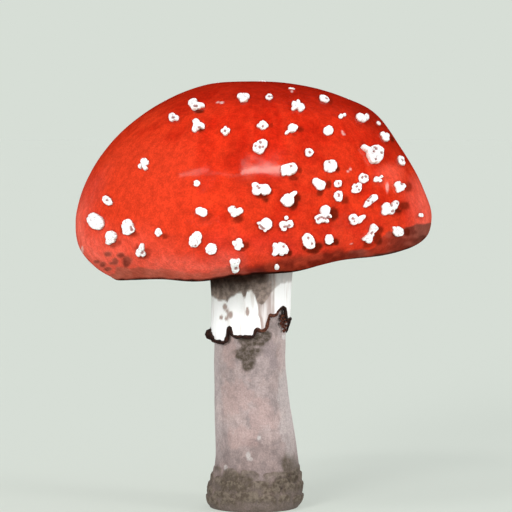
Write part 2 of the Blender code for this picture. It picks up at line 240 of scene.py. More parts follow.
def colourAndBump(tree, shader, colour, height, depth):
    # The material's colour, and a bump of this many mm.
    tree.links.new(colour, shader.inputs["Base Color"])
    bump = addNode(tree, "ShaderNodeBump", {"Height": height, "Distance": depth * mm})
    tree.links.new(bump.outputs[0], shader.inputs["Normal"])


# The camera and the studio

studio = {
    "viewRise": 4.0,              # degrees above level
    "distance": 1000,
    "aim": (0.7, 0, 84.4),
    "viewWidth": 171.5,           # what the picture takes in across the stem
    "sensor": 36,
    "clip": (0.05, 50),           # metres
    "backdrop": (215, 222, 214),
    "domeReach": 4000,
    "domeRows": 16, "columns": 64,
    "floorRings": (60, 150, 400, 1200, 4200),
    "floorDrop": 0.1,
    "floorGlow": 0.6,             # how much of the floor's brightness is its own
    "air": (0.40, 0.42, 0.43),    # light from all round
    # turn, rise, power, softness
    "suns": {"keyLight": (-28, 17, 2.2, 25), "highLight": (-38, 48, 0.65, 12), "fillLight": (62, 13, 1.9, 25),
             "backLight": (160, 35, 0.7, 40)},
    "sunDistance": 1500, "sunAim": (0, 0, 100),
    # seen in the gloss alone: turn, rise, width, height, brightness, roll
    "sheens": [(19, 57.3, 214, 40, 15, -6.5), (17, 59.1, 186, 56, 4.8, -20), (-59, 51.5, 180, 20, 6, 28),
               (-22, 55.6, 205, 8, 4, 4)],
    "sheenColour": (1, 0.86, 0.78),
    "sheenDistance": 500, "sheenAim": (0, -48, 114),
}


def placeFrom(turn, rise, distance, centre):
    # turn is degrees round from the front towards the right, rise degrees above level.
    turn, rise = math.radians(turn), math.radians(rise)
    way = Vector((math.sin(turn) * math.cos(rise), -math.cos(turn) * math.cos(rise), math.sin(rise)))
    return (Vector(centre) + way * distance) * mm


def aimed(thing, place, target):
    # Puts a thing at a place, in metres, and turns it to look at a target, in mm.
    bpy.context.scene.collection.objects.link(thing)
    thing.location = place
    thing.rotation_euler = (Vector(target) * mm - thing.location).to_track_quat("-Z", "Y").to_euler()
    return thing


def addCamera():
    # The lens follows from the distance and the width that the view takes in there.
    data = bpy.data.cameras.new("pictureView")
    data.sensor_width = studio["sensor"]
    data.lens = data.sensor_width * studio["distance"] / studio["viewWidth"]
    data.clip_start, data.clip_end = studio["clip"]
    camera = bpy.data.objects.new("pictureView", data)
    place = placeFrom(0, studio["viewRise"], studio["distance"], studio["aim"])
    bpy.context.scene.camera = aimed(camera, place, studio["aim"])


def addSun(name, turn, rise, power, softness):
    # Light from one direction, softened over some degrees and left out of reflections.
    data = bpy.data.lights.new(name, "SUN")
    data.energy = power
    data.angle = math.radians(softness)
    place = placeFrom(turn, rise, studio["sunDistance"], studio["sunAim"])
    sun = aimed(bpy.data.objects.new(name, data), place, studio["sunAim"])
    sun.visible_glossy = False


def addSheen(name, turn, rise, width, height, brightness, roll):
    # A flat light that is seen in gloss alone. Its power is its brightness times pi and its area.
    data = bpy.data.lights.new(name, "AREA")
    data.shape = "RECTANGLE"
    data.color = studio["sheenColour"]
    data.size, data.size_y = width * mm, height * mm
    data.energy = brightness * math.pi * width * height * mm * mm
    place = placeFrom(turn, rise, studio["sheenDistance"], studio["sheenAim"])
    sheen = aimed(bpy.data.objects.new(name, data), place, studio["sheenAim"])
    sheen.rotation_euler.rotate_axis("Z", math.radians(roll))
    sheen.visible_diffuse = False
    sheen.visible_camera = False


def stagePiece(name, points, faces, material):
    # A piece of the surroundings, which isn't part of the mushroom.
    piece = newObject(name, points, faces, material)
    return piece


def buildStudio():
    # Pale air all round, a dome that only the camera sees, a flat floor, and the lights.
    scene = bpy.context.scene
    scene.view_settings.view_transform = "Standard"
    world = bpy.data.worlds.new("studioAir")
    world.use_nodes = True
    world.node_tree.nodes["Background"].inputs["Color"].default_value = (*studio["air"], 1)
    world.cycles_visibility.glossy = False
    scene.world = world

    # the dome: a half ball of rings, closed by a fan at its top
    reach, rows, columns = studio["domeReach"], studio["domeRows"], studio["columns"]
    backdrop = paint(*studio["backdrop"])
    turns = np.linspace(0, 2 * np.pi, columns, endpoint=False)
    rises = np.linspace(0, np.pi / 2, rows + 1)[:-1, None]
    rings = reach * np.stack([np.cos(rises) * np.cos(turns), np.cos(rises) * np.sin(turns),
                              np.sin(rises) + 0 * turns], -1)
    domePaint, _, shader = startMaterial("domePaint", 1, 0)
    shader.inputs["Base Color"].default_value = (0, 0, 0, 1)
    shader.inputs["Emission Color"].default_value = backdrop
    shader.inputs["Emission Strength"].default_value = 1
    points = np.concatenate([rings.reshape(-1, 3), [[0, 0, reach]]])
    faces = [gridFaces(rows, columns, back=True),
             fanFaces(len(points) - 1, (rows - 1) * columns, columns, back=True)]
    dome = stagePiece("dome", points, faces, domePaint)
    for sight in ("visible_diffuse", "visible_glossy", "visible_transmission", "visible_shadow"):
        setattr(dome, sight, False)

    # the floor's own glow and what it gives back of the light that falls on it add up to the backdrop
    falling = np.array(studio["air"])
    for _, rise, power, _ in studio["suns"].values():
        falling = falling + power * math.sin(math.radians(rise)) / math.pi
    floorPaint, _, shader = startMaterial("floorPaint", 1, 0)
    given = (1 - studio["floorGlow"]) * np.array(backdrop[:3]) / falling
    shader.inputs["Base Color"].default_value = (*given, 1)
    shader.inputs["Emission Color"].default_value = backdrop
    shader.inputs["Emission Strength"].default_value = studio["floorGlow"]
    rings = np.array(studio["floorRings"], float)[:, None, None]
    rings = rings * np.stack([np.cos(turns), np.sin(turns), 0 * turns], -1)
    points = np.concatenate([[[0, 0, 0]], rings.reshape(-1, 3)]) - (0, 0, studio["floorDrop"])
    faces = [fanFaces(0, 1, columns), gridFaces(len(rings), columns, 1, back=True)]
    floor = stagePiece("floor", points, faces, floorPaint)
    floor.visible_glossy = False

    for name, sun in studio["suns"].items():
        addSun(name, *sun)
    for number, sheen in enumerate(studio["sheens"]):
        addSheen(f"sheen{number}", *sheen)
    print("studio built")


# The cap's skin

cap = {
    "axis": -0.8,
    # distance from the axis and height, from the crown round the margin to the lip, on either side
    "left": [(0, 143), (15.5, 141.8), (30.1, 136), (41.5, 128), (51.9, 116),
             (57.5, 104), (58.9, 97), (57.5, 87.2), (52.6, 81.7), (46.7, 78.3)],
    "right": [(0, 143), (14.8, 142), (30.8, 137.7), (40.3, 133.2), (50.2, 120.5),
              (57.4, 107.5), (60.3, 97.6), (59, 91.7), (54.2, 87.9), (46.7, 87.2)],
    "waves": [(2, 0.010, 0.6), (3, 0.012, 2.1), (5, 0.006, 4.0)],   # lobes, share of the radius, phase
    "waveReach": 60, "waveFade": 14,
    "lipHeight": 83, "lipRadius": 46.7,
    # how much lower the lip hangs than its plane: degrees round from the right by way of the back
    "lipDroop": [(0, 0), (45, 0.5), (90, 1.9), (135, 0.5), (180, 0.2), (197, 1.1), (215, 0.7), (232, 0.6),
                 (248, 1.9), (268, 1.1), (288, 1.6), (304, 0), (325, 0.3), (345, 0), (360, 0)],
    "lipRoll": [(1.3, 0.5), (2.1, 1.6), (2.4, 3.2)],                # inwards and up from the lip
    "bed": [(47.5, 11), (36, 24.5), (13, 32.5), (0, 33)],           # the gill bed above the lip's plane
    "columns": 440, "rows": 180, "innerRows": 24, "crowding": 0.55,
    "dents": [(19, 0.26, 1), (7, 0.1, 2), (2.2, 0.035, 3)],         # patch, depth, seed
    # noise that the colours drift and fray by: patch, seed, share
    "noise": {"drift": [(12, 11, 1), (5, 12, 0.5)], "ragged": [(2.6, 13, 1), (1.3, 14, 0.6)],
              "blotch": [(2.8, 17, 1), (1.3, 18, 0.7)], "streak": [(3.2, 15, 1), (1.5, 16, 0.6)]},
    # Where each wash of colour lies. A row names a measure, where along it the wash is absent and where it
    # is full, and how far its edge drifts. across and up are as seen, back and height in space, above is
    # from the lip, and left goes from 0 at the right to 1 at the left.
    "washes": {
        "frontal": [("back", 16, 2)],     # what is drawn in front fades round the side
        # crown: darker over the crown, as the real disc is; crownRight and crest deepen it at the right and
        # on the right shoulder as painted shade
        "crown": [("height", 129, 141, 3)],
        "crownRight": [("across", -25, 15)],
        "crest": [("across", 16, 32), ("back", -36, -15), ("back", 40, 20), ("height", 111, 127)],
        "upper": [("height", 112, 130), ("across", -36, -6)],
        # painted light, brighter at the left; painted shade, deeper in the middle and towards the right and,
        # in dip, beside the left edge
        "paintedLight": [("across", -12, -30), ("up", 127, 117, 2), ("across", -54, -49)],
        "deep": [("across", -14, -4), ("across", 40, 30), ("up", 133, 124)],
        "dip": [("left", 0.915, 0.935), ("left", 0.975, 0.95), ("up", 92, 99), ("up", 114, 105)],
        # pale washes: painted light on the flanks and low in front, a painted highlight at the left rim, and
        # a belt
        "flank": [("left", 0.90, 0.985), ("above", 44, 18, 4)],
        "rightFlank": [("left", 0.10, 0.01), ("above", 27, 17, 3), ("above", 2, 8)],
        "belt": [("above", 20, 6, 3)],
        "beltMiddle": [("left", 0.25, 0.5)],
        "beltLeft": [("left", 0.62, 0.97)],
        "rim": [("left", 0.955, 0.99), ("height", 106, 93, 2)],
        "low": [("above", 12, 4, 2), ("across", 2, -10), ("across", -42, -34)],
        # ruddy and bandRight: where the brown band is deepened as painted shade, in its middle and low at the
        # right
        "ruddy": [("across", -9, 1), ("across", 35, 28), ("back", 16, 2)],
        "faint": [("across", -2, -12), ("back", 16, 2)],
        "bandRight": [("across", 36, 42)],
        # where the painted shade by the warts is kept: in front
        "paintedShadeFront": [("back", -1, -12)],
        "glossy": [("above", 0, 3)],
    },
    "strength": {"crown": 0.45, "crest": 0.95, "dip": 0.5, "flank": 0.5, "rightFlank": 0.7, "belt": 0.65,
                 "rim": 0.75, "low": 0.75, "palePlace": 0.3, "brownBehind": 0.75, "spots": 0.8,
                 "paintedShade": 0.92, "ring": 0.35, "streak": 0.7, "gloss": 0.5},
    "beltShares": (0.06, 0.12, 0.85),     # everywhere, more from the middle on, more at the left
    # places as seen: across, up, half width, half height. The first two are places of painted light, the
    # third a gap in the painted shade
    "paintedLightPlace": (46.5, 111.5, 5, 4.5), "palePlace": (45.5, 111.5, 5, 4), "deepGap": (4, 121, 8, 8),
    "deepFoot": (84, 90), "deepTurn": 4,  # up, and from where on its foot rises to the left
    # as seen in front: upper edge of the brown band along the margin, across and up
    "brownEdge": [(-50, 77.6), (-46.6, 78.4), (-46.1, 80.2), (-44, 80.4), (-41, 80.2), (-38.5, 80.8),
                  (-35.5, 80.2), (-30, 79.7), (-25.5, 79.1), (-20, 78.1), (-15, 78.8), (-11.5, 80.2),
                  (-8.5, 80.9), (-4, 80.2), (-1, 81.1), (3, 82), (6, 82.9), (9, 83.8), (12, 84.6),
                  (18, 85.2), (24, 86.2), (28, 86.8), (31, 86.2), (35, 86.1), (38.7, 86.3), (41.4, 87.8),
                  (42.4, 90), (43.6, 91.6), (45.3, 92.6), (48, 92.7), (50, 93.7), (53.3, 94.6), (56, 95.1),
                  (60, 95.8)],
    # across, how strong the band is
    "brownShare": [(-46, 0.62), (-30, 0.55), (-22, 0.4), (-12, 0.4), (-6, 0.5), (2, 0.8), (36, 0.8),
                   (40, 0.52), (43.5, 0.52), (46.5, 0.76), (53, 0.88), (56.5, 1)],
    "brownBehind": 2.6,                   # how high the band is behind
    # across, how thick the dark line of the lip is, painted shade of its underside
    "lipLine": [(-50, 0.8), (-14, 1.0), (-9, 1.0), (-3, 1.0), (6, 1.2), (12, 1.2), (18, 1.1), (28, 1.1),
                (40, 1.6), (44, 2), (50, 2.4), (56, 2.7), (60, 2.8)],
    "lipLineBehind": 0.5,
    # brown spots low on the left, as seen: across, up, half width, half height
    "spots": [(-49.1, 85, 1.4, 1.1), (-44.7, 84.5, 1.5, .9), (-46.7, 82.4, 1, 1.2), (-47.9, 81.8, .8, .5),
              (-42.7, 82.3, 1.6, 2), (-52.8, 82.4, 1.2, .7), (-50.7, 81.5, 1, 1), (-49, 79.9, 1.3, .7)],
    # painted shadows beside the warts, and a few broad ovals of painted shade, as seen: across, up, half
    # width, half height, strength
    "paintedShadeOvals": [
        (-18.8, 133.1, 1.9, .8, 1), (-17.9, 126.8, 1.5, .8, 1), (5.8, 128.3, .7, 1, .6),
        (15.7, 126.9, 1.3, 1.1, .7), (13.6, 125, 1, .5, .55), (15.5, 113.2, .8, 1.4, .75),
        (13.3, 110.6, 1.7, .9, .75), (27.9, 113.5, 1, 1, .95), (25.6, 136.5, .8, 1.2, .55),
        (46.6, 123.8, .9, 1.3, 1), (25, 108.3, 1, 1.4, .85), (22.3, 105.7, 1.2, 1.4, .85),
        (51.6, 107.3, 1.5, 2, .75), (3.2, 104.4, 2.4, .7, 1), (3.9, 103.4, 1.3, 1, 1),
        (5.7, 105.6, .5, 1, .75), (14.6, 103.9, 1.3, 1.4, 1), (14, 102.3, .9, .9, 1),
        (12.9, 100.9, 1.3, 1.1, .95), (30.4, 103.3, 1.4, 1.4, .7), (50.5, 101.4, 2, 1.5, .85),
        (47.9, 99.6, 1.6, 1, 1), (-15, 98, 1.2, 1, .45), (-17, 96.6, 1.8, .9, .4),
        (-5.2, 96.9, 1.7, 1.3, .75), (26.8, 98.3, 1.5, 2.2, 1), (-40.1, 91.7, 1.4, 1, .6),
        (-44.5, 93.2, .5, 1.2, .6), (42.3, 93, 1.1, 1.3, .75), (41.4, 90.4, 1.6, 2, .85),
        (38.3, 88.2, 1.9, 1.3, .65), (51.4, 92.5, 1.3, 1.4, 1), (-29.9, 91.1, 1.4, 1, .7),
        (-46.1, 88.8, 1.7, 1.3, .6), (-47.2, 87.7, 1.3, .8, .55), (27.5, 89.1, 1.1, 1.2, 1),
        (25.2, 88.3, 1.5, .7, 1), (21.5, 87.6, 1.6, 1.3, 1), (19.6, 86, 2.4, .9, 1), (17, 87, .7, 1, .95),
        (-3, 88, 1.9, 1.2, .85), (-4, 86.6, 1.3, .7, .7), (9.1, 84.9, 2, .9, 1), (12, 85.4, 1, 1.2, 1),
        (-6.5, 119.2, 4.6, 2, .1), (20, 131, 16, 5, .05), (38.5, 132, 5.5, 4.5, .25), (44, 99, 6, 7, .1),
        (-39.1, 87, .7, 1.6, .6), (-35.7, 85.2, 1.2, 1.8, .6), (-37.2, 83.9, 1.8, .8, .6)],
    # small pale gleams on the skin, in the same way: painted highlights, and a few pale marks of the veil
    "gleams": [(44.7, 107.4, .6, 1.6, .4), (-57.6, 86.4, .35, 1.2, .6), (-12.1, 136, .5, .35, .6),
               (-10.8, 135.9, .6, .35, .7), (12.7, 139.6, .4, .4, .5), (29.6, 126, .35, .5, .5),
               (30.1, 125.4, .5, .35, .5), (31.5, 112.9, .45, .45, .5), (32.3, 113.7, .45, .45, .5),
               (32.8, 88.4, .4, .3, .4)],
    # a colour, or the two that a pattern mixes
    "shades": {
        "red": ((0.68, 0.039, 0.011), (0.54, 0.021, 0.006)),
        "streak": (0.67, 0.046, 0.015), "paintedLight": (0.665, 0.043, 0.014), "deep": (0.84, 0.82, 0.84),
        "upper": (1, 0.74, 0.70), "crown": (0.40, 0.013, 0.004), "pale": (0.97, 0.152, 0.102),
        "gleam": (0.90, 0.66, 0.60),
        "brown": ((0.22, 0.060, 0.042), (0.10, 0.025, 0.017)),
        "ruddy": ((0.27, 0.036, 0.018), (0.08, 0.012, 0.007)),
        "faint": ((0.34, 0.125, 0.085), (0.24, 0.08, 0.052)),
        "paintedShade": (0.10, 0.009, 0.003), "edge": (0.022, 0.006, 0.004),
        "flesh": ((0.80, 0.74, 0.62), (0.66, 0.58, 0.46)),
    },
}
cap["lipRise"] = (cap["right"][-1][1] - cap["left"][-1][1]) / 2 / cap["lipRadius"]


def lipPlane(x):
    # The slanting plane that the lip and the gills keep to.
    return cap["lipHeight"] + cap["lipRise"] * (x - cap["axis"])


def capGrid():
    # Columns round the axis, closer together in front, and rows down the skin and up the inside. A column's
    # outline blends the left and right outlines by the cosine of its turn. The margin waves, and the lip
    # droops by a drawn curve.
    turn = np.linspace(0, 2 * np.pi, cap["columns"], endpoint=False)
    turn = turn + cap["crowding"] * (1 - np.cos(turn))
    right = ((1 + np.cos(turn)) / 2)[:, None, None]
    profile = right * np.array(cap["right"], float) + (1 - right) * np.array(cap["left"], float)
    fine = np.linspace(0, len(cap["left"]) - 1, 600)
    line = splineThrough(cap["left"], fine)
    along = np.concatenate([[0], np.cumsum(np.linalg.norm(np.diff(line, axis=0), axis=1))])
    steps = np.interp(np.linspace(0, along[-1], cap["rows"] + 1)[1:], along, fine)
    outer = splineThrough(profile, steps, flatStart=True)
    wave = sum(size * np.sin(lobes * turn + phase) for lobes, size, phase in cap["waves"])[:, None]
    sideways = np.sin(turn)[:, None] ** 2
    aboveLip = np.clip((outer[..., 1] - outer[:, -1:, 1]) / cap["waveFade"], 0, 1)
    outer[..., 0] *= 1 + wave * sideways * np.clip(outer[..., 0] / cap["waveReach"], 0, 1) ** 2 * aboveLip
    outer[..., 1] -= smoothValue(cap["lipDroop"], np.degrees(turn))[:, None] * (1 - aboveLip)

    edge = outer[:, -1]
    inner = [outer[:, -6], edge] + [edge + (-inward, up) for inward, up in cap["lipRoll"]]
    for distance, height in cap["bed"][:-1]:
        heights = lipPlane(cap["axis"] + distance * np.cos(turn)) + height
        inner.append(np.stack([np.full_like(turn, distance), heights], -1))
    last = [np.zeros_like(turn), np.full_like(turn, cap["lipHeight"] + cap["bed"][-1][1])]
    inner.append(np.stack(last, -1))
    inner = splineThrough(np.stack(inner, 1), np.linspace(1, len(inner) - 1, cap["innerRows"] + 1)[1:-1])
    outline = np.concatenate([outer, inner], axis=1).transpose(1, 0, 2)
    x = cap["axis"] + outline[..., 0] * np.cos(turn)
    return np.stack([x, outline[..., 0] * np.sin(turn), outline[..., 1]], -1), turn


def washAt(measures, rows):
    # One wash: the product of the smooth steps of its rows, each shifted by its share of the drift.
    found = 1.0
    for measure, absent, full, *drift in rows:
        found = found * smoothStep(absent, full, measures[measure] + sum(drift) * measures["drift"])
    return found


def wartRings(paintedShade, across, up, ragged, front):
    # A thin ring of painted shade round each wart in front: from how far a point lies off the wart's nearest
    # lobe.
    for x, z, lobes, _ in warts["front"]:
        near = front & (np.abs(across - x) < 6) & (np.abs(up - z) < 6)
        for a, b, radius in lobes:
            gap = np.hypot(across[near] - x - a - 0.1, up[near] - z - b + 0.15) - radius + 0.15 * ragged[near]
            paintedShade[near] = np.maximum(paintedShade[near], cap["strength"]["ring"] * smoothStep(0.75, 0.1, gap))
    return paintedShade


def capWashes(grid, turn):
    # Where each colour lies, as numbers from 0 to 1: products of smooth steps, drawn edges and ovals.
    noise, strength = cap["noise"], cap["strength"]
    aboveLip = grid[..., 2] - grid[cap["rows"] - 1, :, 2]
    across, up = asSeen(grid)
    seen = np.stack([across, up, 0 * up], -1)
    ragged = noiseSum(seen, noise["ragged"])
    measures = {"across": across, "up": up, "back": grid[..., 1], "height": grid[..., 2], "above": aboveLip,
                "left": (1 - np.cos(turn)) / 2, "drift": noiseSum(grid, noise["drift"])}
    wash = {name: washAt(measures, rows) for name, rows in cap["washes"].items()}
    front, frontal = grid[..., 1] < 0, wash["frontal"]

    def gapFrom(x, z, wide, tall):
        # how far each point lies from an oval's middle, where 1 is the oval's edge
        return np.hypot((across - x) / wide, (up - z) / tall)

    def ovals(places):
        # the strongest of the ovals at each point in front, with ragged edges
        found = np.zeros(across.shape)
        for x, z, wide, tall, *most in places:
            gap = gapFrom(x, z, wide, tall) + 0.22 * ragged
            found = np.maximum(found, smoothStep(1.3, 0.7, gap) * (most or [1])[0])
        return found * front

    # the crown darker, as the real disc is, and deeper at the right and on the right shoulder as painted
    # shade
    crown = wash["crown"] * (strength["crown"] + (1 - strength["crown"]) * wash["crownRight"])
    crown = np.maximum(crown, strength["crest"] * wash["crest"])
    # pale: painted light on both flanks and low in front, a painted highlight at the left rim, and a belt
    # above the lip
    # the belt is partly the real paler margin and partly painted light, the more so at the left
    everywhere, middle, left = cap["beltShares"]
    wash["belt"] = wash["belt"] * (everywhere + middle * wash["beltMiddle"] + left * wash["beltLeft"])
    pale = sum(strength[name] * wash[name] for name in ("flank", "rightFlank", "belt", "rim"))
    pale = np.maximum(np.clip(pale, 0, 1), strength["low"] * wash["low"] * front)
    pale = np.maximum(pale, strength["palePlace"] * smoothStep(1.4, 0.4, gapFrom(*cap["palePlace"])))
    # painted light, brighter at the left and in a place at the right; painted shade, deeper in the middle and
    # beside the left edge
    paintedLight = np.maximum(wash["paintedLight"], smoothStep(1.3, 0.5, gapFrom(*cap["paintedLightPlace"])))
    deep = wash["deep"] * smoothStep(*cap["deepFoot"], up + np.minimum(across - cap["deepTurn"], 0))
    deep = deep * smoothStep(0.4, 1.3, gapFrom(*cap["deepGap"]) + 0.2 * ragged)
    deep = np.maximum(deep, strength["dip"] * wash["dip"])

    # the band along the margin, from the drawn edge down as seen in front, and a narrow one behind: a
    # brownish margin, deepened as painted shade
    drawn = up - straightValue(cap["brownEdge"], across) + 0.4 * ragged
    behind = aboveLip - cap["brownBehind"] + 0.5 * ragged
    share = straightValue(cap["brownShare"], across)
    share = np.maximum(share, smoothStep(3.2, 1.2, aboveLip + 0.4 * ragged) * wash["bandRight"])
    low, high = 0.3 + 0.9 * wash["ruddy"], -0.2 - 1.6 * wash["ruddy"]
    brown = smoothStep(low, high, frontal * drawn + (1 - frontal) * behind)
    brown = brown * (frontal * share + (1 - frontal) * strength["brownBehind"])
    spots = ovals(cap["spots"])
    brown = np.maximum(brown, strength["spots"] * spots)
    # the dark line of the lip, painted shade of its underside; painted shadows and rings of painted shade by
    # the warts; and streaks from crown to margin
    line = straightValue(cap["lipLine"], across) * frontal + cap["lipLineBehind"] * (1 - frontal)
    edge = smoothStep(1.0, 0.2, (aboveLip + 0.25 * ragged) / line)
    paintedShade = wartRings(ovals(cap["paintedShadeOvals"]) * wash["paintedShadeFront"], across, up, ragged, front)
    run = np.stack([34 * np.cos(turn) + 0 * up, 34 * np.sin(turn) + 0 * up, 0.16 * grid[..., 2]], -1)
    streak = smoothStep(0.0, 1.1, noiseSum(run, noise["streak"])) * strength["streak"]

    inside = np.zeros(across.shape)
    inside[cap["rows"] + 2:] = 1
    bare = (1 - brown) * (1 - edge) * (1 - inside) * (1 - 0.8 * paintedShade)
    return {"crown": crown, "pale": pale, "gleam": ovals(cap["gleams"]), "brown": brown, "inside": inside,
            "edge": edge, "paintedShade": strength["paintedShade"] * paintedShade, "streak": streak, "paintedLight": paintedLight, "deep": deep,
            "gloss": strength["gloss"] * bare * wash["glossy"], "ruddy": wash["ruddy"],
            "faint": wash["faint"] * (1 - spots), "upper": wash["upper"],
            "blotch": smoothStep(-0.5, 0.6, noiseSum(seen, noise["blotch"]))}


def capPaint():
    # Matt skin in mottled washes under a thin, wet coat.
    shades = cap["shades"]
    material, tree, shader = startMaterial("capPaint", 0.5, 0.0)
    shader.inputs["Coat Roughness"].default_value = 0.1
    tree.links.new(pointValue(tree, "gloss"), shader.inputs["Coat Weight"])
    place = objectPlace(tree)
    colour = mixed(tree, faded(tree, mottle(tree, place, 14, 5, 0.6), 0.36, 0.64), *shades["red"])
    # streaks from crown to margin, and painted light
    for name in ("streak", "paintedLight"):
        colour = mixed(tree, pointValue(tree, name), colour, shades[name])
    # painted shade, and a deeper red high up
    for name in ("deep", "upper"):
        colour = mixed(tree, pointValue(tree, name), colour, shades[name], "MULTIPLY")
    colour = mixed(tree, pointValue(tree, "crown"), colour, shades["crown"])
    # paler with the pale washes: painted light, a painted highlight and the paler margin
    patchy = faded(tree, mottle(tree, place, 3.5), 0.3, 0.7, 0.75, 1.15)
    colour = mixed(tree, sumOf(tree, pointValue(tree, "pale"), patchy, "MULTIPLY"), colour, shades["pale"])
    colour = mixed(tree, pointValue(tree, "gleam"), colour, shades["gleam"])
    blotch = pointValue(tree, "blotch")
    # the brown band, darker red in its middle and darker low at the right as painted shade
    band = mixed(tree, blotch, *shades["brown"])
    for name in ("ruddy", "faint"):
        band = mixed(tree, pointValue(tree, name), band, mixed(tree, blotch, *shades[name]))
    colour = mixed(tree, pointValue(tree, "brown"), colour, band)
    # painted shadows by the warts, and the lip's dark line of painted shade
    for name in ("paintedShade", "edge"):
        colour = mixed(tree, pointValue(tree, name), colour, shades[name])
    flesh = mixed(tree, faded(tree, mottle(tree, place, 1.5), 0.35, 0.65), *shades["flesh"])
    colour = mixed(tree, pointValue(tree, "inside"), colour, flesh)
    colour = shaded(tree, colour, mottle(tree, place, 2.4, 3, 0.65), 0.32, 0.68, 0.86, 1.11)
    grain = mottle(tree, place, 0.55, 2, 0.6)
    colour = shaded(tree, colour, grain, 0.3, 0.7, 0.86, 1.11)
    colourAndBump(tree, shader, colour, sumOf(tree, grain, mottle(tree, place, 1.6, 2)), 0.05)
    return material


def buildCapSkin():
    # The grid sunk along its normals by shallow dents, and closed at the crown and under the gill bed.
    grid, turn = capGrid()
    rows, columns = cap["rows"], cap["columns"]
    values = capWashes(grid, turn)
    sink = sum(depth * (0.5 + 0.5 * cellNoise(grid, size, seed)) for size, depth, seed in cap["dents"])
    sink[rows - 2:] = 0
    grid = grid - gridNormals(grid) * sink[..., None]
    crown = (cap["axis"], 0, cap["left"][0][1] - 0.2)
    bed = (cap["axis"], 0, cap["lipHeight"] + cap["bed"][-1][1])
    points = np.concatenate([[crown], grid.reshape(-1, 3), [bed]])
    last = 1 + (len(grid) - 1) * columns
    faces = [fanFaces(0, 1, columns), gridFaces(len(grid), columns, 1, back=True),
             fanFaces(len(points) - 1, last, columns, back=True)]
    for name, value in values.items():
        values[name] = np.concatenate([[name == "crown"], value.ravel(), [name == "inside"]])
    skin = addPiece("capSkin", points, faces, capPaint(), "cap", values)
    return skin, grid[:rows]


# The white warts of the torn veil

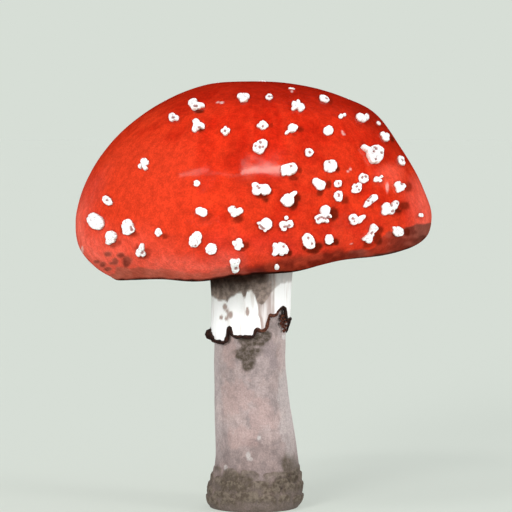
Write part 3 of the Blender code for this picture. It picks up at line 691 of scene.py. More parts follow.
warts = {
    # As seen: across, up, then lobes and pits, each placed from the wart's middle: across, up, radius.
    "front": [
        (-19.3, 135.2, [(-1.1, .7, 1.5), (-.6, -.5, 1.3), (.6, -.5, 1), (2.2, -.6, .65)],
         [(.5, .9), (-.3, -.9), (.2, -.9)]),
        (-3.4, 137.6, [(-1.3, .6, .95), (1, .5, 1), (0, .3, 1.1), (-.3, -.9, 1), (.4, -.9, .9)], []),
        (-26.9, 130.9, [(-.4, .3, 1.2), (1, -.3, .9), (-.5, -.6, .8)], [(-.1, -.3), (.2, -.4)]),
        (-18.6, 128.4, [(-.6, .9, 1.2), (1.2, -.3, .8), (-1.3, -1.6, .7), (-.5, -.4, 1.1)],
         [(.2, -1.1), (.6, -1)]),
        (-9.6, 126.3, [(0, 0, 1.1), (0, .9, .6), (0, -.9, .6), (-1, 0, .6), (.9, .1, .7)], [(0, -.2)]),
        (-37, 115.2, [(.4, .8, 1.2), (-1, -.7, .7), (.6, -1.2, .7)], []),
        (5.1, 137.7, [(0, 0, 1.2)], [(0, 0), (1, 0)]),
        (14.9, 134.8, [(0, 1.4, .7), (-1.5, .6, .8), (-1.5, -.9, .7), (1.1, -.4, .9), (.6, -1.4, .6),
                       (0, 0, 1)], []),
        (23.5, 137.1, [(0, 0, 1.6)], [(.6, 0)]),
        (29.5, 131.3, [(-.5, -.1, .7), (.7, .4, .5)], []),
        (36.5, 130.9, [(-1.1, -.1, 1.4), (1.3, .3, 1), (1.5, 1.1, .6), (0, -.8, 1)], [(.4, 1.1)]),
        (41.7, 128.9, [(0, 0, .8)], []),
        (44, 124.4, [(-.9, .7, .9), (1, .7, .9), (0, -.3, 1.4)], []),
        (3, 128.1, [(0, .2, 1.4), (-1.6, 0, .5), (1.3, 0, .5)], [(0, -.4)]),
        (12.6, 127, [(.2, .3, 1.4), (1.3, .5, .7), (-1.5, -1.2, .5)], []),
        (24.9, 126.5, [(0, 0, 1.5), (.4, .5, 1.1), (-.4, -.4, 1.1)], []),
        (2.2, 121.2, [(-.8, -.4, 1.7), (.9, .8, 1.5), (-.1, -1.2, 1.3), (.1, .2, 1.75)],
         [(-1.6, -.1), (-.3, -.4), (.8, -.4), (-.1, 1.2)]),
        (18.5, 119.2, [(0, 0, 1.3)], [(0, 0), (.2, -.1)]),
        (39.9, 119, [(.8, 0, 2.6), (.9, -1.4, 2), (-.8, .9, 1), (-2.1, 1.4, .45), (-3.1, 2.3, .45),
                     (-3.9, 2.9, .6)],
         [(.1, 1.7), (.4, 1.4), (.7, 1.1), (-.2, .2), (2.5, -.2), (.6, -2.3)]),
        (49.4, 116.5, [(0, .4, 1.3), (0, -.5, 1.3)], [(0, 0)]),
        (11.9, 113.5, [(-1.2, 0, 1.6), (1, .3, 1.75), (0, 0, 1.9), (-1.9, -1.5, .6), (-1.8, .2, .9)],
         [(.4, .9)]),
        (25.6, 114.5, [(0, 0, 2), (.8, .7, 1.25), (-.9, .8, 1.15), (.9, -.6, 1.1), (-.8, -.7, 1)],
         [(-.5, 1.2)]),
        (36.8, 110.4, [(0, 0, 1.5), (-.3, .4, 1.3)], [(-.8, .1), (-.6, .4), (.4, .5)]),
        (41.6, 110.3, [(-.6, -.2, .9), (1, .7, .5), (.7, -.7, .5)], []),
        (21.9, 108.6, [(-1.2, .8, 1.05), (.4, -.4, 1.6), (-.5, .3, 1.3)], []),
        (28.2, 108.7, [(0, 0, 1.2)], [(0, .1), (.1, -.2)]),
        (34.5, 107.1, [(.6, 1, .9), (-.6, -.7, 1), (.4, -.3, 1), (-.7, .5, .9)],
         [(-.4, .4), (-.1, .5), (.5, -.5)]),
        (49.1, 107.9, [(-.8, .4, 1.2), (.8, .1, .85), (-.8, -1.4, .7), (.2, -.8, .9)],
         [(.3, .9), (.2, .6)]),
        (-19.1, 108.8, [(0, 0, 1), (0, .4, .7)], []),
        (2.4, 106.8, [(-2, 1.4, 1), (-1.4, -.4, 1.5), (.1, .2, 1.4), (1.4, -.1, 1.75), (2.7, -.5, .8)],
         [(-1.2, .9), (-.7, .3)]),
        (11.7, 103.6, [(-.3, -.3, 2), (-1.9, -.4, .7), (2.1, 2, .75), (1.1, 1.4, .85)], []),
        (28.3, 104.6, [(0, .3, 1.4), (0, -.4, 1.3)], [(-.1, .5), (.1, .2), (0, -.1)]),
        (39.2, 103.1, [(1, .9, 1.2), (0, 0, 1.1), (-.9, -.8, 1), (-1.6, -1.7, .6)],
         [(-.7, .7), (-.3, 1.2), (-1.1, -.3), (.2, -.7)]),
        (-49.1, 103, [(-.4, .6, 1.1), (.4, -.5, 1.1), (0, 0, 1.25)], [(.1, .1)]),
        (45.7, 100.6, [(-1.3, .3, 1.35), (-1.6, -1.3, 1), (.3, -1.2, 1), (1.8, 1.5, 1), (1.3, .2, .8)],
         [(1.9, 1.4), (0, .5), (.1, .9), (.6, -1.1), (.2, -1.3)]),
        (-17.6, 99.2, [(-.6, .3, 1.3), (.5, -.2, 1.4)], []),
        (-6.2, 99.5, [(-1, .4, 1.35), (1.5, .1, 1), (-.3, -.7, 1.2), (.6, -.6, 1)], [(-.1, 1.2)]),
        (23.5, 98.5, [(.4, 1.3, 1.6), (-1.9, -1.2, 1.1), (-1.7, -2.3, .8), (-.3, -1.5, 1.1),
                      (2.1, -.8, .6), (.9, -2, .7)],
         [(-2.1, -1.8), (-1.7, -1.3), (-.9, -1.1), (-.3, -1.4), (.3, -1.6), (.9, -1.2), (1.4, -1)]),
        (34.3, 96.8, [(-1.1, .5, 1.3), (-.8, -1, 1), (.7, -.4, 1.1), (2.3, .8, .75), (1.5, .3, .8)],
         [(-1.4, .3), (-1.2, 0), (-.9, -.8)]),
        (55.9, 98.1, [(-.4, 0, .6), (.4, 0, .6)], []),
        (-53.1, 96, [(-.8, .8, 2), (.6, -.6, 2.1), (0, 0, 2.3)], []),
        (10.9, 97.2, [(0, 0, .7)], []),
        (10.9, 94.6, [(-1, .2, 1.3), (1.1, .5, 1.25), (-.8, -1.5, .8)],
         [(-.7, -.4), (-.3, -.3), (.1, -.3), (.5, -.2), (.8, .1)]),
        (3.7, 94.6, [(.4, .4, 1.95), (0, -1.9, .6), (-2.2, .8, .5), (-1, -.4, 1)],
         [(-1.7, .2), (-1.3, -.2), (-.9, -.6), (-.5, -1)]),
        (-42, 93.8, [(-.3, .8, 1.75), (-1, -1.2, 1), (.8, -.4, 1.2), (-.2, -1.3, .9)],
         [(1, .3), (1.1, -.1), (1.2, -.5)]),
        (39, 91.9, [(1.3, 1.8, 1.2), (.2, -.2, .8), (-.5, -1.9, 1.05), (-2.2, -1.7, .45),
                    (-1.5, -1.7, .5)], [(0, .1), (.3, .5)]),
        (48.4, 92.6, [(0, 0, 1.6), (-1.3, 1.2, .5)], []),
        (-32.1, 92.4, [(.1, -.2, 1.1), (0, .5, .8)], []),
        (-47.9, 90.8, [(0, .3, 1.75), (-.7, -1.5, .9), (.3, -.9, 1.1)], []),
        (-19.6, 89.9, [(.4, 1, 1.6), (-.5, -1, 1.5), (0, 0, 1.85)], [(.1, -1.9)]),
        (25.2, 90.1, [(0, .4, 1.2), (0, -.3, 1.4)], []),
        (18.3, 89.4, [(-.2, .8, 1.8), (.5, -1.1, 1.6), (.2, -.2, 1.9)], [(-.2, 1), (1.1, -.8)]),
        (-14.3, 86.7, [(0, 0, 1.8), (.3, .3, 1.5)], []),
        (-5.3, 88.4, [(.3, .9, 1.1), (-1.2, .3, .8), (-.1, -.8, 1.1), (1.2, -.4, .6)], []),
        (8.9, 86.4, [(-1.7, 1.4, .9), (0, 1.1, 1.3), (.9, .8, 1.35), (1.8, 0, 1.05), (-2.1, -1.3, .6),
                     (-1.6, 0, .9), (.3, -.7, 1)], [(1, 1.2)]),
        (-37.9, 86.3, [(.3, 1.5, .6), (.2, .6, .9), (-.3, -.6, 1.25), (-.7, -1.1, 1), (.6, -1.2, .9)],
         [(.8, -.4), (.5, -.7)]),
        (-6.2, 81, [(-1.2, 1.4, .65), (.9, 1.4, .65), (-.2, 1.2, .8), (-.2, .2, 1.35), (0, -1.3, 1.25)],
         [(.4, -.4), (.1, -.6)]),
        (7.7, 80.6, [(0, 0, .8)], []),
    ],
    # low ones over the crown, from above: across, back, width
    "crown": [(12.4, -16, 2.4), (-13, 9, 3.4), (3, 8, 3), (18, 10, 3.4), (-29, 8, 3), (32, 9, 3),
              (-4, 17, 4.2), (11, 18, 3.6), (-21, 18, 4), (26, 20, 4.2), (-35, 17, 3.6)],
    "crownRise": 0.14,
    "backCount": 40, "backWidths": (2.4, 6), "backFrom": 22, "spacing": 3, "seed": 11,
    "rise": 0.27,                 # height as a share of the width
    "mostStretch": 1.9,           # for warts seen aslant
    "spokes": 56,
    # rings from the sunk root over the wall to the middle: share of the outline, share of the height
    "rings": [(.90, -.35), (.99, 0), (1.035, .3), (1.03, .62), (.97, .86), (.88, .97), (.76, 1), (.63, 1),
              (.5, 1), (.37, 1), (.24, 1), (.12, 1)],
    "pitRadius": 0.58,
    # lumps on the top and teeth of the outline: patch, seed, share
    "rough": [(1.1, 21, 1), (0.5, 22, 0.5)], "jagged": [(0.9, 23, 0.17), (0.45, 24, 0.15)],
    # the side whose walls carry painted shade
    "darkSide": -65,              # degrees round from the right, where the wall is dullest
    "shades": {"white": ((0.94, 0.93, 0.93), (0.63, 0.55, 0.55)), "wall": (0.55, 0.38, 0.30),
               "pit": (0.26, 0.06, 0.045)},
}


def wartOutline(lobes, spokes):
    # How far each spoke runs from the middle: to the last crossing with any of the round lobes.
    reach = np.full(spokes.shape, 0.2)
    for x, z, radius in lobes:
        along = x * np.cos(spokes) + z * np.sin(spokes)
        rest = radius ** 2 - (x * x + z * z - along ** 2)
        reach = np.maximum(reach, np.where(rest > 0, along + np.sqrt(np.maximum(rest, 0)), 0))
    return 0.25 * np.roll(reach, 1) + 0.5 * reach + 0.25 * np.roll(reach, -1)


def skinPlace(grid, point):
    # The row and column, with their fractions, of the grid's place nearest to a point, and how a step of
    # one row and one column moves there.
    row, column = np.unravel_index(np.argmin(np.sum((grid - point) ** 2, -1)), grid.shape[:2])
    row = int(np.clip(row, 2, len(grid) - 3))
    count = grid.shape[1]
    steps = np.stack([grid[row + 1, column] - grid[row - 1, column],
                      grid[row, (column + 1) % count] - grid[row, (column - 1) % count]], -1) / 2
    return np.array([row, column]) + np.linalg.pinv(steps) @ (point - grid[row, column]), steps


def readGrid(values, rows, columns):
    # Values of a grid between its points, each the weighted mean of the four round it.
    rows = np.clip(rows, 0, len(values) - 1.001)
    row, column = np.floor(rows).astype(int), np.floor(columns).astype(int)
    down, right = (rows - row)[..., None], (columns - column)[..., None]
    count = values.shape[1]
    upper = (1 - right) * values[row, column % count] + right * values[row, (column + 1) % count]
    lower = (1 - right) * values[row + 1, column % count] + right * values[row + 1, (column + 1) % count]
    return (1 - down) * upper + down * lower


def wartPlaces(skin, grid):
    # For each wart its middle, its lobes, pits and height, and the two directions that its shape is drawn
    # along. Front warts lie where the eye sees them and crown warts where they are from above. Behind,
    # directions turn by the golden angle, and a wart that would crowd another is left out.
    tree = BVHTree.FromObject(skin, bpy.context.evaluated_depsgraph_get())
    draw = random.Random(warts["seed"])
    shapes = random.Random(warts["seed"] + 5)
    found = []

    def hit(start, way):
        # where a ray first meets the skin, in mm, and the skin's normal there
        point, normal, *_ = tree.ray_cast(Vector(start) * mm, Vector(way).normalized())
        return np.array(point) / mm, np.array(normal)

    def sides(normal):
        # two columns square to the normal: level across, and up the slope
        across = np.cross((0, 0, 1), normal)
        size = np.linalg.norm(across)
        across = across / size if size > 0.05 else np.array([1.0, 0, 0])
        return np.stack([across, np.cross(normal, across)], -1)

    def lobesFor(wide, tall):
        # one round lobe in the middle, and two to four drawn along the edge of an oval
        lobes = [(0, 0, 0.36 * (wide + tall) / 2)]
        for _ in range(shapes.randint(2, 4)):
            turn, size = shapes.uniform(0, math.tau), shapes.uniform(0.18, 0.3) * wide
            lobes.append(((wide / 2 - size) * math.cos(turn), (tall / 2 - size) * math.sin(turn), size))
        return lobes

    def seenSteps(point, steps):
        # how a step of one row and one column moves as seen
        here = np.array(asSeen(point))
        return np.stack([(np.array(asSeen(point + steps[:, k] * 0.1)) - here) * 10 for k in (0, 1)], -1)

    for x, z, lobes, pits in warts["front"]:
        wide = max(a + r for a, b, r in lobes) - min(a - r for a, b, r in lobes)
        tall = max(b + r for a, b, r in lobes) - min(b - r for a, b, r in lobes)
        height = warts["rise"] * (wide + tall) / 2
        point, normal = hit(eye, np.array([x, 0, z]) - eye)
        # the middle of its height, not its foot, is seen at the place drawn
        point, normal = hit(eye, np.array([x, 0, z]) - 0.5 * height * normal * (1, 0, 1) - eye)
        place, steps = skinPlace(grid, point)
        # directions on the skin that look one mm across and one mm up, kept from stretching too far
        inverse = np.linalg.inv(seenSteps(point, steps))
        u, stretch, v = np.linalg.svd(steps @ inverse, full_matrices=False)
        way = u @ np.diag(np.minimum(stretch, warts["mostStretch"])) @ v
        found.append((point, place, steps, way, lobes, pits, height, wide))
    for x, y, wide in warts["crown"]:
        point, normal = hit((x, y, 1000), (0, 0, -1))
        place, steps = skinPlace(grid, point)
        height = warts["crownRise"] * wide
        found.append((point, place, steps, sides(normal), lobesFor(wide, wide), [], height, wide))
    middle = np.array([cap["axis"], 0, cap["lipHeight"] + 14])
    wanted, turn = len(found) + warts["backCount"], 0
    while len(found) < wanted:
        turn += 1
        rise = draw.uniform(-0.12, 1.0)
        angle = turn * math.pi * (3 - math.sqrt(5)) + draw.uniform(-0.3, 0.3)
        flat = math.sqrt(1 - rise * rise)
        away = np.array([flat * math.cos(angle), flat * math.sin(angle), rise])
        point, normal = hit(middle + away * 1000, -away)
        wide = draw.uniform(*warts["backWidths"])
        tall = wide * draw.uniform(0.75, 1.1)
        room = [np.linalg.norm(point - other[0]) - 0.6 * (wide + other[-1]) for other in found]
        if point[1] > warts["backFrom"] and min(room) > warts["spacing"]:
            place, steps = skinPlace(grid, point)
            count = shapes.choice((0, 0, 1, 2))
            pits = [(shapes.uniform(-.5, .5), shapes.uniform(-.5, .5)) for _ in range(count)]
            height = warts["rise"] * (wide + tall) / 2
            found.append((point, place, steps, sides(normal), lobesFor(wide, tall), pits, height, wide))
    return found


def wartPaint():
    # White crumbs, beige low on their walls and darker on one side's walls as painted shade, and dark in
    # their pits.
    shades = warts["shades"]
    material, tree, shader = startMaterial("wartPaint", 0.62, 0.1)
    place = objectPlace(tree)
    colour = mixed(tree, faded(tree, mottle(tree, place, 0.7), 0.5, 0.64), *shades["white"])
    patchy = faded(tree, mottle(tree, place, 1.1), 0.35, 0.6, 0.25, 1)
    colour = mixed(tree, sumOf(tree, pointValue(tree, "wall"), patchy, "MULTIPLY"), colour, shades["wall"])
    colour = mixed(tree, faded(tree, pointValue(tree, "pit"), 0.3, 0.9, 0, 0.85), colour, shades["pit"])
    colourAndBump(tree, shader, colour, mottle(tree, place, 0.5, 3), 0.12)
    return material


def buildWarts(skin, grid):
    # Each wart is a round grid of rings and spokes, laid on the skin's own grid and raised along its
    # normals: a sunk root, a steep wall a little wider than its foot, and a lumpy top with pits.
    normals = gridNormals(grid)
    count = warts["spokes"]
    spokes = np.linspace(0, 2 * np.pi, count, endpoint=False)
    below = smoothStep(0.35, 1, np.cos(spokes - math.radians(warts["darkSide"])))
    share, lift = np.array(warts["rings"]).T[..., None]
    rings = len(share)
    dome = np.concatenate([(1 - share ** 2 + 0 * spokes).ravel(), [1, 1]])
    level = np.concatenate([(lift + 0 * spokes).ravel(), [1, -0.5]])
    upper = smoothStep(0.5, 0.95, level)
    shady = np.concatenate([(smoothStep(0.86, 0.99, share) * below).ravel(), [0, 0]])
    allPoints, allFaces, wall, pit = [], [], [], []
    first = 0
    for number, (_, place, steps, way, lobes, pits, height, wide) in enumerate(wartPlaces(skin, grid)):
        flat = wartOutline(lobes, spokes) * share
        shape = np.stack([flat * np.cos(spokes), flat * np.sin(spokes)], -1)
        shape = np.concatenate([shape.reshape(-1, 2), np.zeros((2, 2))])
        crumbs = np.concatenate([shape, np.full((len(shape), 1), 7.3 * number)], -1)
        rough, jagged = noiseSum(crumbs, warts["rough"]), noiseSum(crumbs, warts["jagged"])
        shape = shape * (1 + jagged / max(wide / 2, 1.2))[:, None]
        gap = np.full(len(shape), 9.0)
        for x, z in pits:
            gap = np.minimum(gap, np.hypot(shape[:, 0] - x, shape[:, 1] - z))
        hole = np.exp(-(gap * (1 + 0.35 * rough) / warts["pitRadius"]) ** 2) * upper
        top = height * (0.9 + 0.13 * rough * upper + 0.1 * dome)
        rise = np.where(level > 0, level * top, level * 0.9) - hole * 0.35 * height
        moved = (np.linalg.pinv(steps) @ way @ shape.T).T
        rows, columns = place[0] + moved[:, 0], place[1] + moved[:, 1]
        out = readGrid(normals, rows, columns)
        out = out / np.linalg.norm(out, axis=-1, keepdims=True)
        points = readGrid(grid, rows, columns) + out * rise[:, None]
        allPoints.append(points)
        middle, last = first + rings * count, first + (rings - 1) * count
        allFaces += [gridFaces(rings, count, first), fanFaces(middle, last, count),
                     fanFaces(middle + 1, first, count, back=True)]
        # beige low on every wall, and painted shade on the walls of the dark side
        wall.append(np.maximum(smoothStep(0.85, 0.35, level) * 0.9, shady * smoothStep(-0.4, 0.5, rough)))
        pit.append(hole)
        first += len(points)
    values = {"wall": np.concatenate(wall), "pit": np.concatenate(pit)}
    return addPiece("capWarts", np.concatenate(allPoints), allFaces, wartPaint(), "cap", values)


# The gills

gills = {
    "sectors": 72,                # each with a whole gill, a half gill and two short ones
    "starts": [13.8, 33, 22, 33], # distance from the axis
    "end": 46.3,
    # distance from the axis, the free edge's height above the lip's plane
    "edge": [(13.8, 25), (17, 18), (36, 9.5), (43.6, 3.2), (45.2, 5.6), (46.4, 9.4)],
    "slope": 6,                   # over which a shorter gill comes down to the free edge
    "stations": 8,
    "rootThickness": 0.55, "edgeThickness": 0.2,
    "sway": 0.35,
    "shades": {"cream": ((0.86, 0.81, 0.70), (0.76, 0.67, 0.52)), "root": (0.60, 0.48, 0.34)},
}


def gillPaint():
    # Cream white, darker towards the roots.
    shades = gills["shades"]
    material, tree, shader = startMaterial("gillPaint", 0.6, 0.3)
    shader.inputs["Subsurface Weight"].default_value = 0.15
    shader.inputs["Subsurface Scale"].default_value = 0.002
    place = objectPlace(tree)
    colour = mixed(tree, faded(tree, mottle(tree, place, 6), 0.35, 0.7), *shades["cream"])
    colour = mixed(tree, faded(tree, pointValue(tree, "depth"), 0, 1, 0, 0.7), colour, shades["root"])
    colourAndBump(tree, shader, colour, mottle(tree, place, 0.6, 3), 0.06)
    return material


def buildGills():
    # Thin blades in planes through the cap's axis, as one array: blade, station outwards, and six points
    # round the blade's section, down one side and up the other. A blade sways sideways along its length.
    starts = np.tile(gills["starts"], gills["sectors"])
    count = len(starts)
    turn = 2 * np.pi * (np.arange(count) + 0.25) / count
    share = np.linspace(0, 1, gills["stations"]) ** 0.9
    distance = starts[:, None] + (gills["end"] - starts[:, None]) * share
    bed = straightValue(cap["bed"][::-1], distance)
    free = straightValue(gills["edge"], distance)
    come = smoothStep(0, 1, (distance - starts[:, None]) / gills["slope"])
    come = np.where(starts[:, None] > gills["starts"][0], come, 1)
    free = bed - 0.4 + (free - bed + 0.4) * come
    free = free + 0.3 * np.sin(distance * 0.55 + 5 * turn[:, None])
    top = bed + 0.5
    level = np.array([0, 0.45, 1, 1, 0.45, 0])
    side = np.array([-1, -1, -1, 1, 1, 1])
    height = free[..., None] + (top - free)[..., None] * level
    half = (gills["edgeThickness"] + (gills["rootThickness"] - gills["edgeThickness"]) * level) / 2
    sway = np.sin(distance * 0.3 + 2.4 * np.arange(count)[:, None])[..., None] * (1 - 0.6 * level)
    sway = gills["sway"] * sway * np.sin(np.pi * np.clip(share, 0, 1))[None, :, None]
    aside = half * side + sway
    along, across = turn[:, None, None], distance[..., None]
    x = cap["axis"] + across * np.cos(along) - aside * np.sin(along)
    y = across * np.sin(along) + aside * np.cos(along)
    points = np.stack([x, y, lipPlane(x) + height], -1)
    depth = np.broadcast_to(level, height.shape)
    stations, section = gills["stations"], len(level)
    last = (stations - 1) * section
    pattern = [gridFaces(stations, section), np.array([[0, 5, 4, 1], [1, 4, 3, 2]]),
               np.array([[0, 1, 4, 5], [1, 2, 3, 4]]) + last]
    pattern = np.concatenate(pattern)
    faces = (pattern[None] + (np.arange(count) * stations * section)[:, None, None]).reshape(-1, 4)
    return addPiece("gillBlades", points, [faces], gillPaint(), "gills", {"depth": depth})


# The stem

stem = {
    "radii": [(0, 15), (1.2, 15.7), (4, 16), (8, 15.4), (12, 14.5), (16, 14.0), (22, 13.6),
              (32, 12.95), (43, 12.25), (55, 12.0), (70, 12.1), (84, 12.2), (100, 12.2), (115.2, 12.2)],
    "lean": [(0, 0), (6, 0.5), (14, 1.0), (32, -0.4), (50, -1.4), (70, -0.9), (84, -0.8), (115.2, -0.8)],
    "tilt": (86, 100),            # between these heights it takes on the tilt of the gills
    "top": 115.2, "columns": 240, "rows": 300,
    # rings of torn scales round the bulb: height, relief, depth below the torn edge, scales, phase
    "rings": [(14.0, 0.75, 4.2, 11, 0.4), (11.4, 1.0, 3.6, 13, 1.7), (8.2, 0.95, 3.4, 12, 2.9),
              (5.0, 0.7, 3.0, 14, 4.4)],
    # Patches of colour on the front: how strong, how ragged, and ovals as seen: across, up, half width, half
    # height.
    "patches": {
        "pink": (0.5, 2, [(9, 50.8, 1.5, 5), (10, 52, 2, 5), (-8, 52, 2.4, 5), (-6, 37, 5, 6),
                          (3, 31, 5, 5), (-4, 23, 6, 4), (4.8, 4.2, 2, 1.6)]),
        "mauve": (0.6, 2, [(5, 54, 2.6, 4.5), (6.5, 48.5, 2, 2.6)]),
        "grey": (1, 1, [(-6, 7.5, 6, 4.6), (12.5, 12.5, 3, 5.5)]),
        # green: grey-green just below the hem, a painted shadow of the skirt
        "green": (1, 1, [(-.7, 56, 4.8, 2.6), (-1.8, 52.2, 4.6, 2.2), (-1.7, 48.4, 2.3, 3),
                         (4, 57.5, 2, 1.8), (-4.5, 50.6, 1.8, 1.4)]),
        # pale: a painted highlight down the stem's right side
        "pale": (0.42, 1, [(10.5, 38, 2.8, 8), (11.3, 28, 2.4, 8), (12.2, 21, 1.6, 5)]),
        # dark: painted shade between the bulb's scales, low at the right
        "dark": (0.8, 1.8, [(10.8, 8.6, 3.4, 1.3), (8.6, 6.6, 2.2, 1.0), (12.8, 10.2, 1.6, 1.0)]),
        "speck": (0.75, 1.2, [(1.7, 23, .7, .9), (-1.9, 17.3, .8, 1.3), (-1.3, 15.9, 1.1, .7),
                             (-9.5, 12.9, .6, .9), (10, 57.2, .6, .8)]),
    },
    # washes in the order that they go on
    "washes": {"pink": (0.44, 0.30, 0.278), "mauve": (0.26, 0.205, 0.21), "grey": (0.135, 0.108, 0.082),
               "green": (0.078, 0.060, 0.045), "pale": (0.58, 0.52, 0.51), "side": (0.56, 0.48, 0.475),
               "dark": (0.05, 0.037, 0.032), "speck": (0.66, 0.62, 0.61)},
    "shades": {"flesh": ((0.385, 0.300, 0.287), (0.325, 0.262, 0.256)), "low": (0.68, 0.66, 0.65),
               "torn": ((0.11, 0.085, 0.062), (0.26, 0.215, 0.17)), "cut": (0.72, 0.66, 0.55)},
}


def stemMiddle(height):
    # How far right of the foot's middle the stem's middle lies at a height.
    return smoothValue(stem["lean"], height)


def stemRadius(height):
    # Half the stem's thickness at a height.
    return smoothValue(stem["radii"], height)


def patches(points, places, ragged):
    # From 0 outside to 1 inside any of the oval patches, seen from the front, with ragged edges.
    across, up = asSeen(points)
    found = np.zeros(across.shape)
    for x, z, wide, tall in places:
        gap = np.hypot((across - x) / wide, (up - z) / tall) + ragged
        found = np.maximum(found, smoothStep(1.25, 0.7, gap))
    return found * smoothStep(5, 0, points[..., 1])


def stemPaint():
    # Clouded, fibrous flesh with washes over it, torn veil on the scales and bare flesh on the cut.
    shades = stem["shades"]
    material, tree, shader = startMaterial("stemPaint", 0.72, 0.1)
    place = objectPlace(tree)
    colour = mixed(tree, faded(tree, mottle(tree, place, 7, 5, 0.6), 0.38, 0.62), *shades["flesh"])
    colour = shaded(tree, colour, mottle(tree, place, 3, 4, 0.62), 0.34, 0.66, 0.84, 1.14)
    fibres = mottle(tree, place, 1.0, 3, 0.6, (1, 1, 0.12))
    colour = shaded(tree, colour, fibres, 0.32, 0.68, 0.96, 1.03)
    patchy = faded(tree, mottle(tree, place, 1.5, 4, 0.65), 0.32, 0.6, 0.6, 1)
    # washes, among them painted light on the sides, a painted highlight, and painted shade under the hem and
    # by the scales
    for name, shade in stem["washes"].items():
        colour = mixed(tree, sumOf(tree, pointValue(tree, name), patchy, "MULTIPLY"), colour, shade)
    torn = mixed(tree, faded(tree, mottle(tree, place, 1.4), 0.35, 0.65), *shades["torn"])
    colour = mixed(tree, pointValue(tree, "scale"), colour, torn)
    colour = mixed(tree, pointValue(tree, "low"), colour, shades["low"], "MULTIPLY")
    colour = mixed(tree, pointValue(tree, "cut"), colour, shades["cut"])
    grain = mottle(tree, place, 0.5, 2, 0.6)
    colour = shaded(tree, colour, grain, 0.3, 0.7, 0.86, 1.12)
    colourAndBump(tree, shader, colour, sumOf(tree, fibres, grain), 0.12)
    return material


def bulbScales(turn, height, ragged, relief):
    # Rings of rounded tiles that end in a torn edge above and thin out below. A tile's number round its
    # ring sets how high, how wide and how thick it is.
    scale = np.zeros(height.shape)
    for level, size, deep, scales, phase in stem["rings"]:
        along = scales * (turn / (2 * np.pi)) + phase + 0.12 * np.sin(3 * turn + phase) + 0.07 * ragged
        tile = np.floor(along) % scales
        fromMiddle = np.abs(2 * (along - np.floor(along)) - 1)
        high, broad, thick = (0.5 + 0.5 * np.sin(tile * number + 9 * phase) for number in (12.9, 78.2, 37.7))
        torn = level + 1.1 * (high - 0.5) + 0.8 * np.sin(2 * turn + phase)
        torn = torn - 1.5 * fromMiddle ** 2.5 + 0.3 * ragged
        below = (torn - height) / deep
        wide = smoothStep(0.98, 0.78, fromMiddle * (0.86 + 0.3 * broad))
        hump = smoothStep(-0.07, 0.07, below) * np.clip(1 - below, 0, 1) ** 0.7 * wide * (0.35 + 0.65 * thick)
        relief = np.maximum(relief, size * hump + 0.3 * relief)
        scale = np.maximum(scale, smoothStep(0.1, 0.6, hump))
    return scale, relief


def buildStem():
    # A turned column that leans. Its surface is raised by fibres drawn out upwards, and round the bulb
    # by the rings of scales.
    count = stem["columns"]
    turn = np.linspace(0, 2 * np.pi, count, endpoint=False)
    share = np.linspace(0, 1, stem["rows"])
    height = (stem["top"] * (0.75 * share + 0.25 * share ** 2))[:, None] + 0 * turn
    around = np.stack([np.cos(turn) + 0 * height, np.sin(turn) + 0 * height], -1)
    rough = np.concatenate([around * 13, height[..., None]], -1)
    fibres = cellNoise(rough * (1, 1, 0.13), 1.2, 31) + 0.6 * cellNoise(rough * (1, 1, 0.2), 0.6, 32)
    lumps = cellNoise(rough, 6, 33)
    ragged = cellNoise(rough, 2.2, 34) + 0.6 * cellNoise(rough, 1.0, 35)
    relief = 0.07 * fibres * smoothStep(1, 4, height) + 0.16 * lumps
    scale, relief = bulbScales(turn, height, ragged, relief)
    reach = stemRadius(height) + relief * smoothStep(0, 1.5, height) - 0.15
    low, high = stem["tilt"]
    x = stemMiddle(height) + reach * around[..., 0]
    z = height + np.clip((height - low) / (high - low), 0, 1) * cap["lipRise"] * (x - cap["axis"])
    grid = np.stack([x, reach * around[..., 1], z], -1)
    values = {name: strength * patches(grid, places, wander * 0.22 * ragged)
              for name, (strength, wander, places) in stem["patches"].items()}
    values["grey"] = np.maximum(values["grey"], smoothStep(13, 8, height + 1.5 * ragged) * 0.75)
    # painted light: paler towards the stem's left and right sides, against their shading
    aside = np.abs(np.cos(turn)) + 0 * height
    values["side"] = 0.6 * smoothStep(0.72, 0.99, aside) * smoothStep(10, 20, height)
    values["scale"] = scale * 0.8
    values["low"] = smoothStep(30, 14, height + 3 * lumps)
    values["cut"] = np.zeros(height.shape)
    tip = (cap["axis"], 0, stem["top"])
    points = np.concatenate([[(0, 0, 0)], grid.reshape(-1, 3), [tip]])
    last = 1 + (len(grid) - 1) * count
    faces = [fanFaces(0, 1, count, back=True), gridFaces(len(grid), count, 1),
             fanFaces(len(points) - 1, last, count)]
    values = {name: np.concatenate([[name == "cut"], value.ravel(), [0]]) for name, value in values.items()}
    return addPiece("stemBody", points, faces, stemPaint(), "stem", values)


# The skirt of veil below the gills

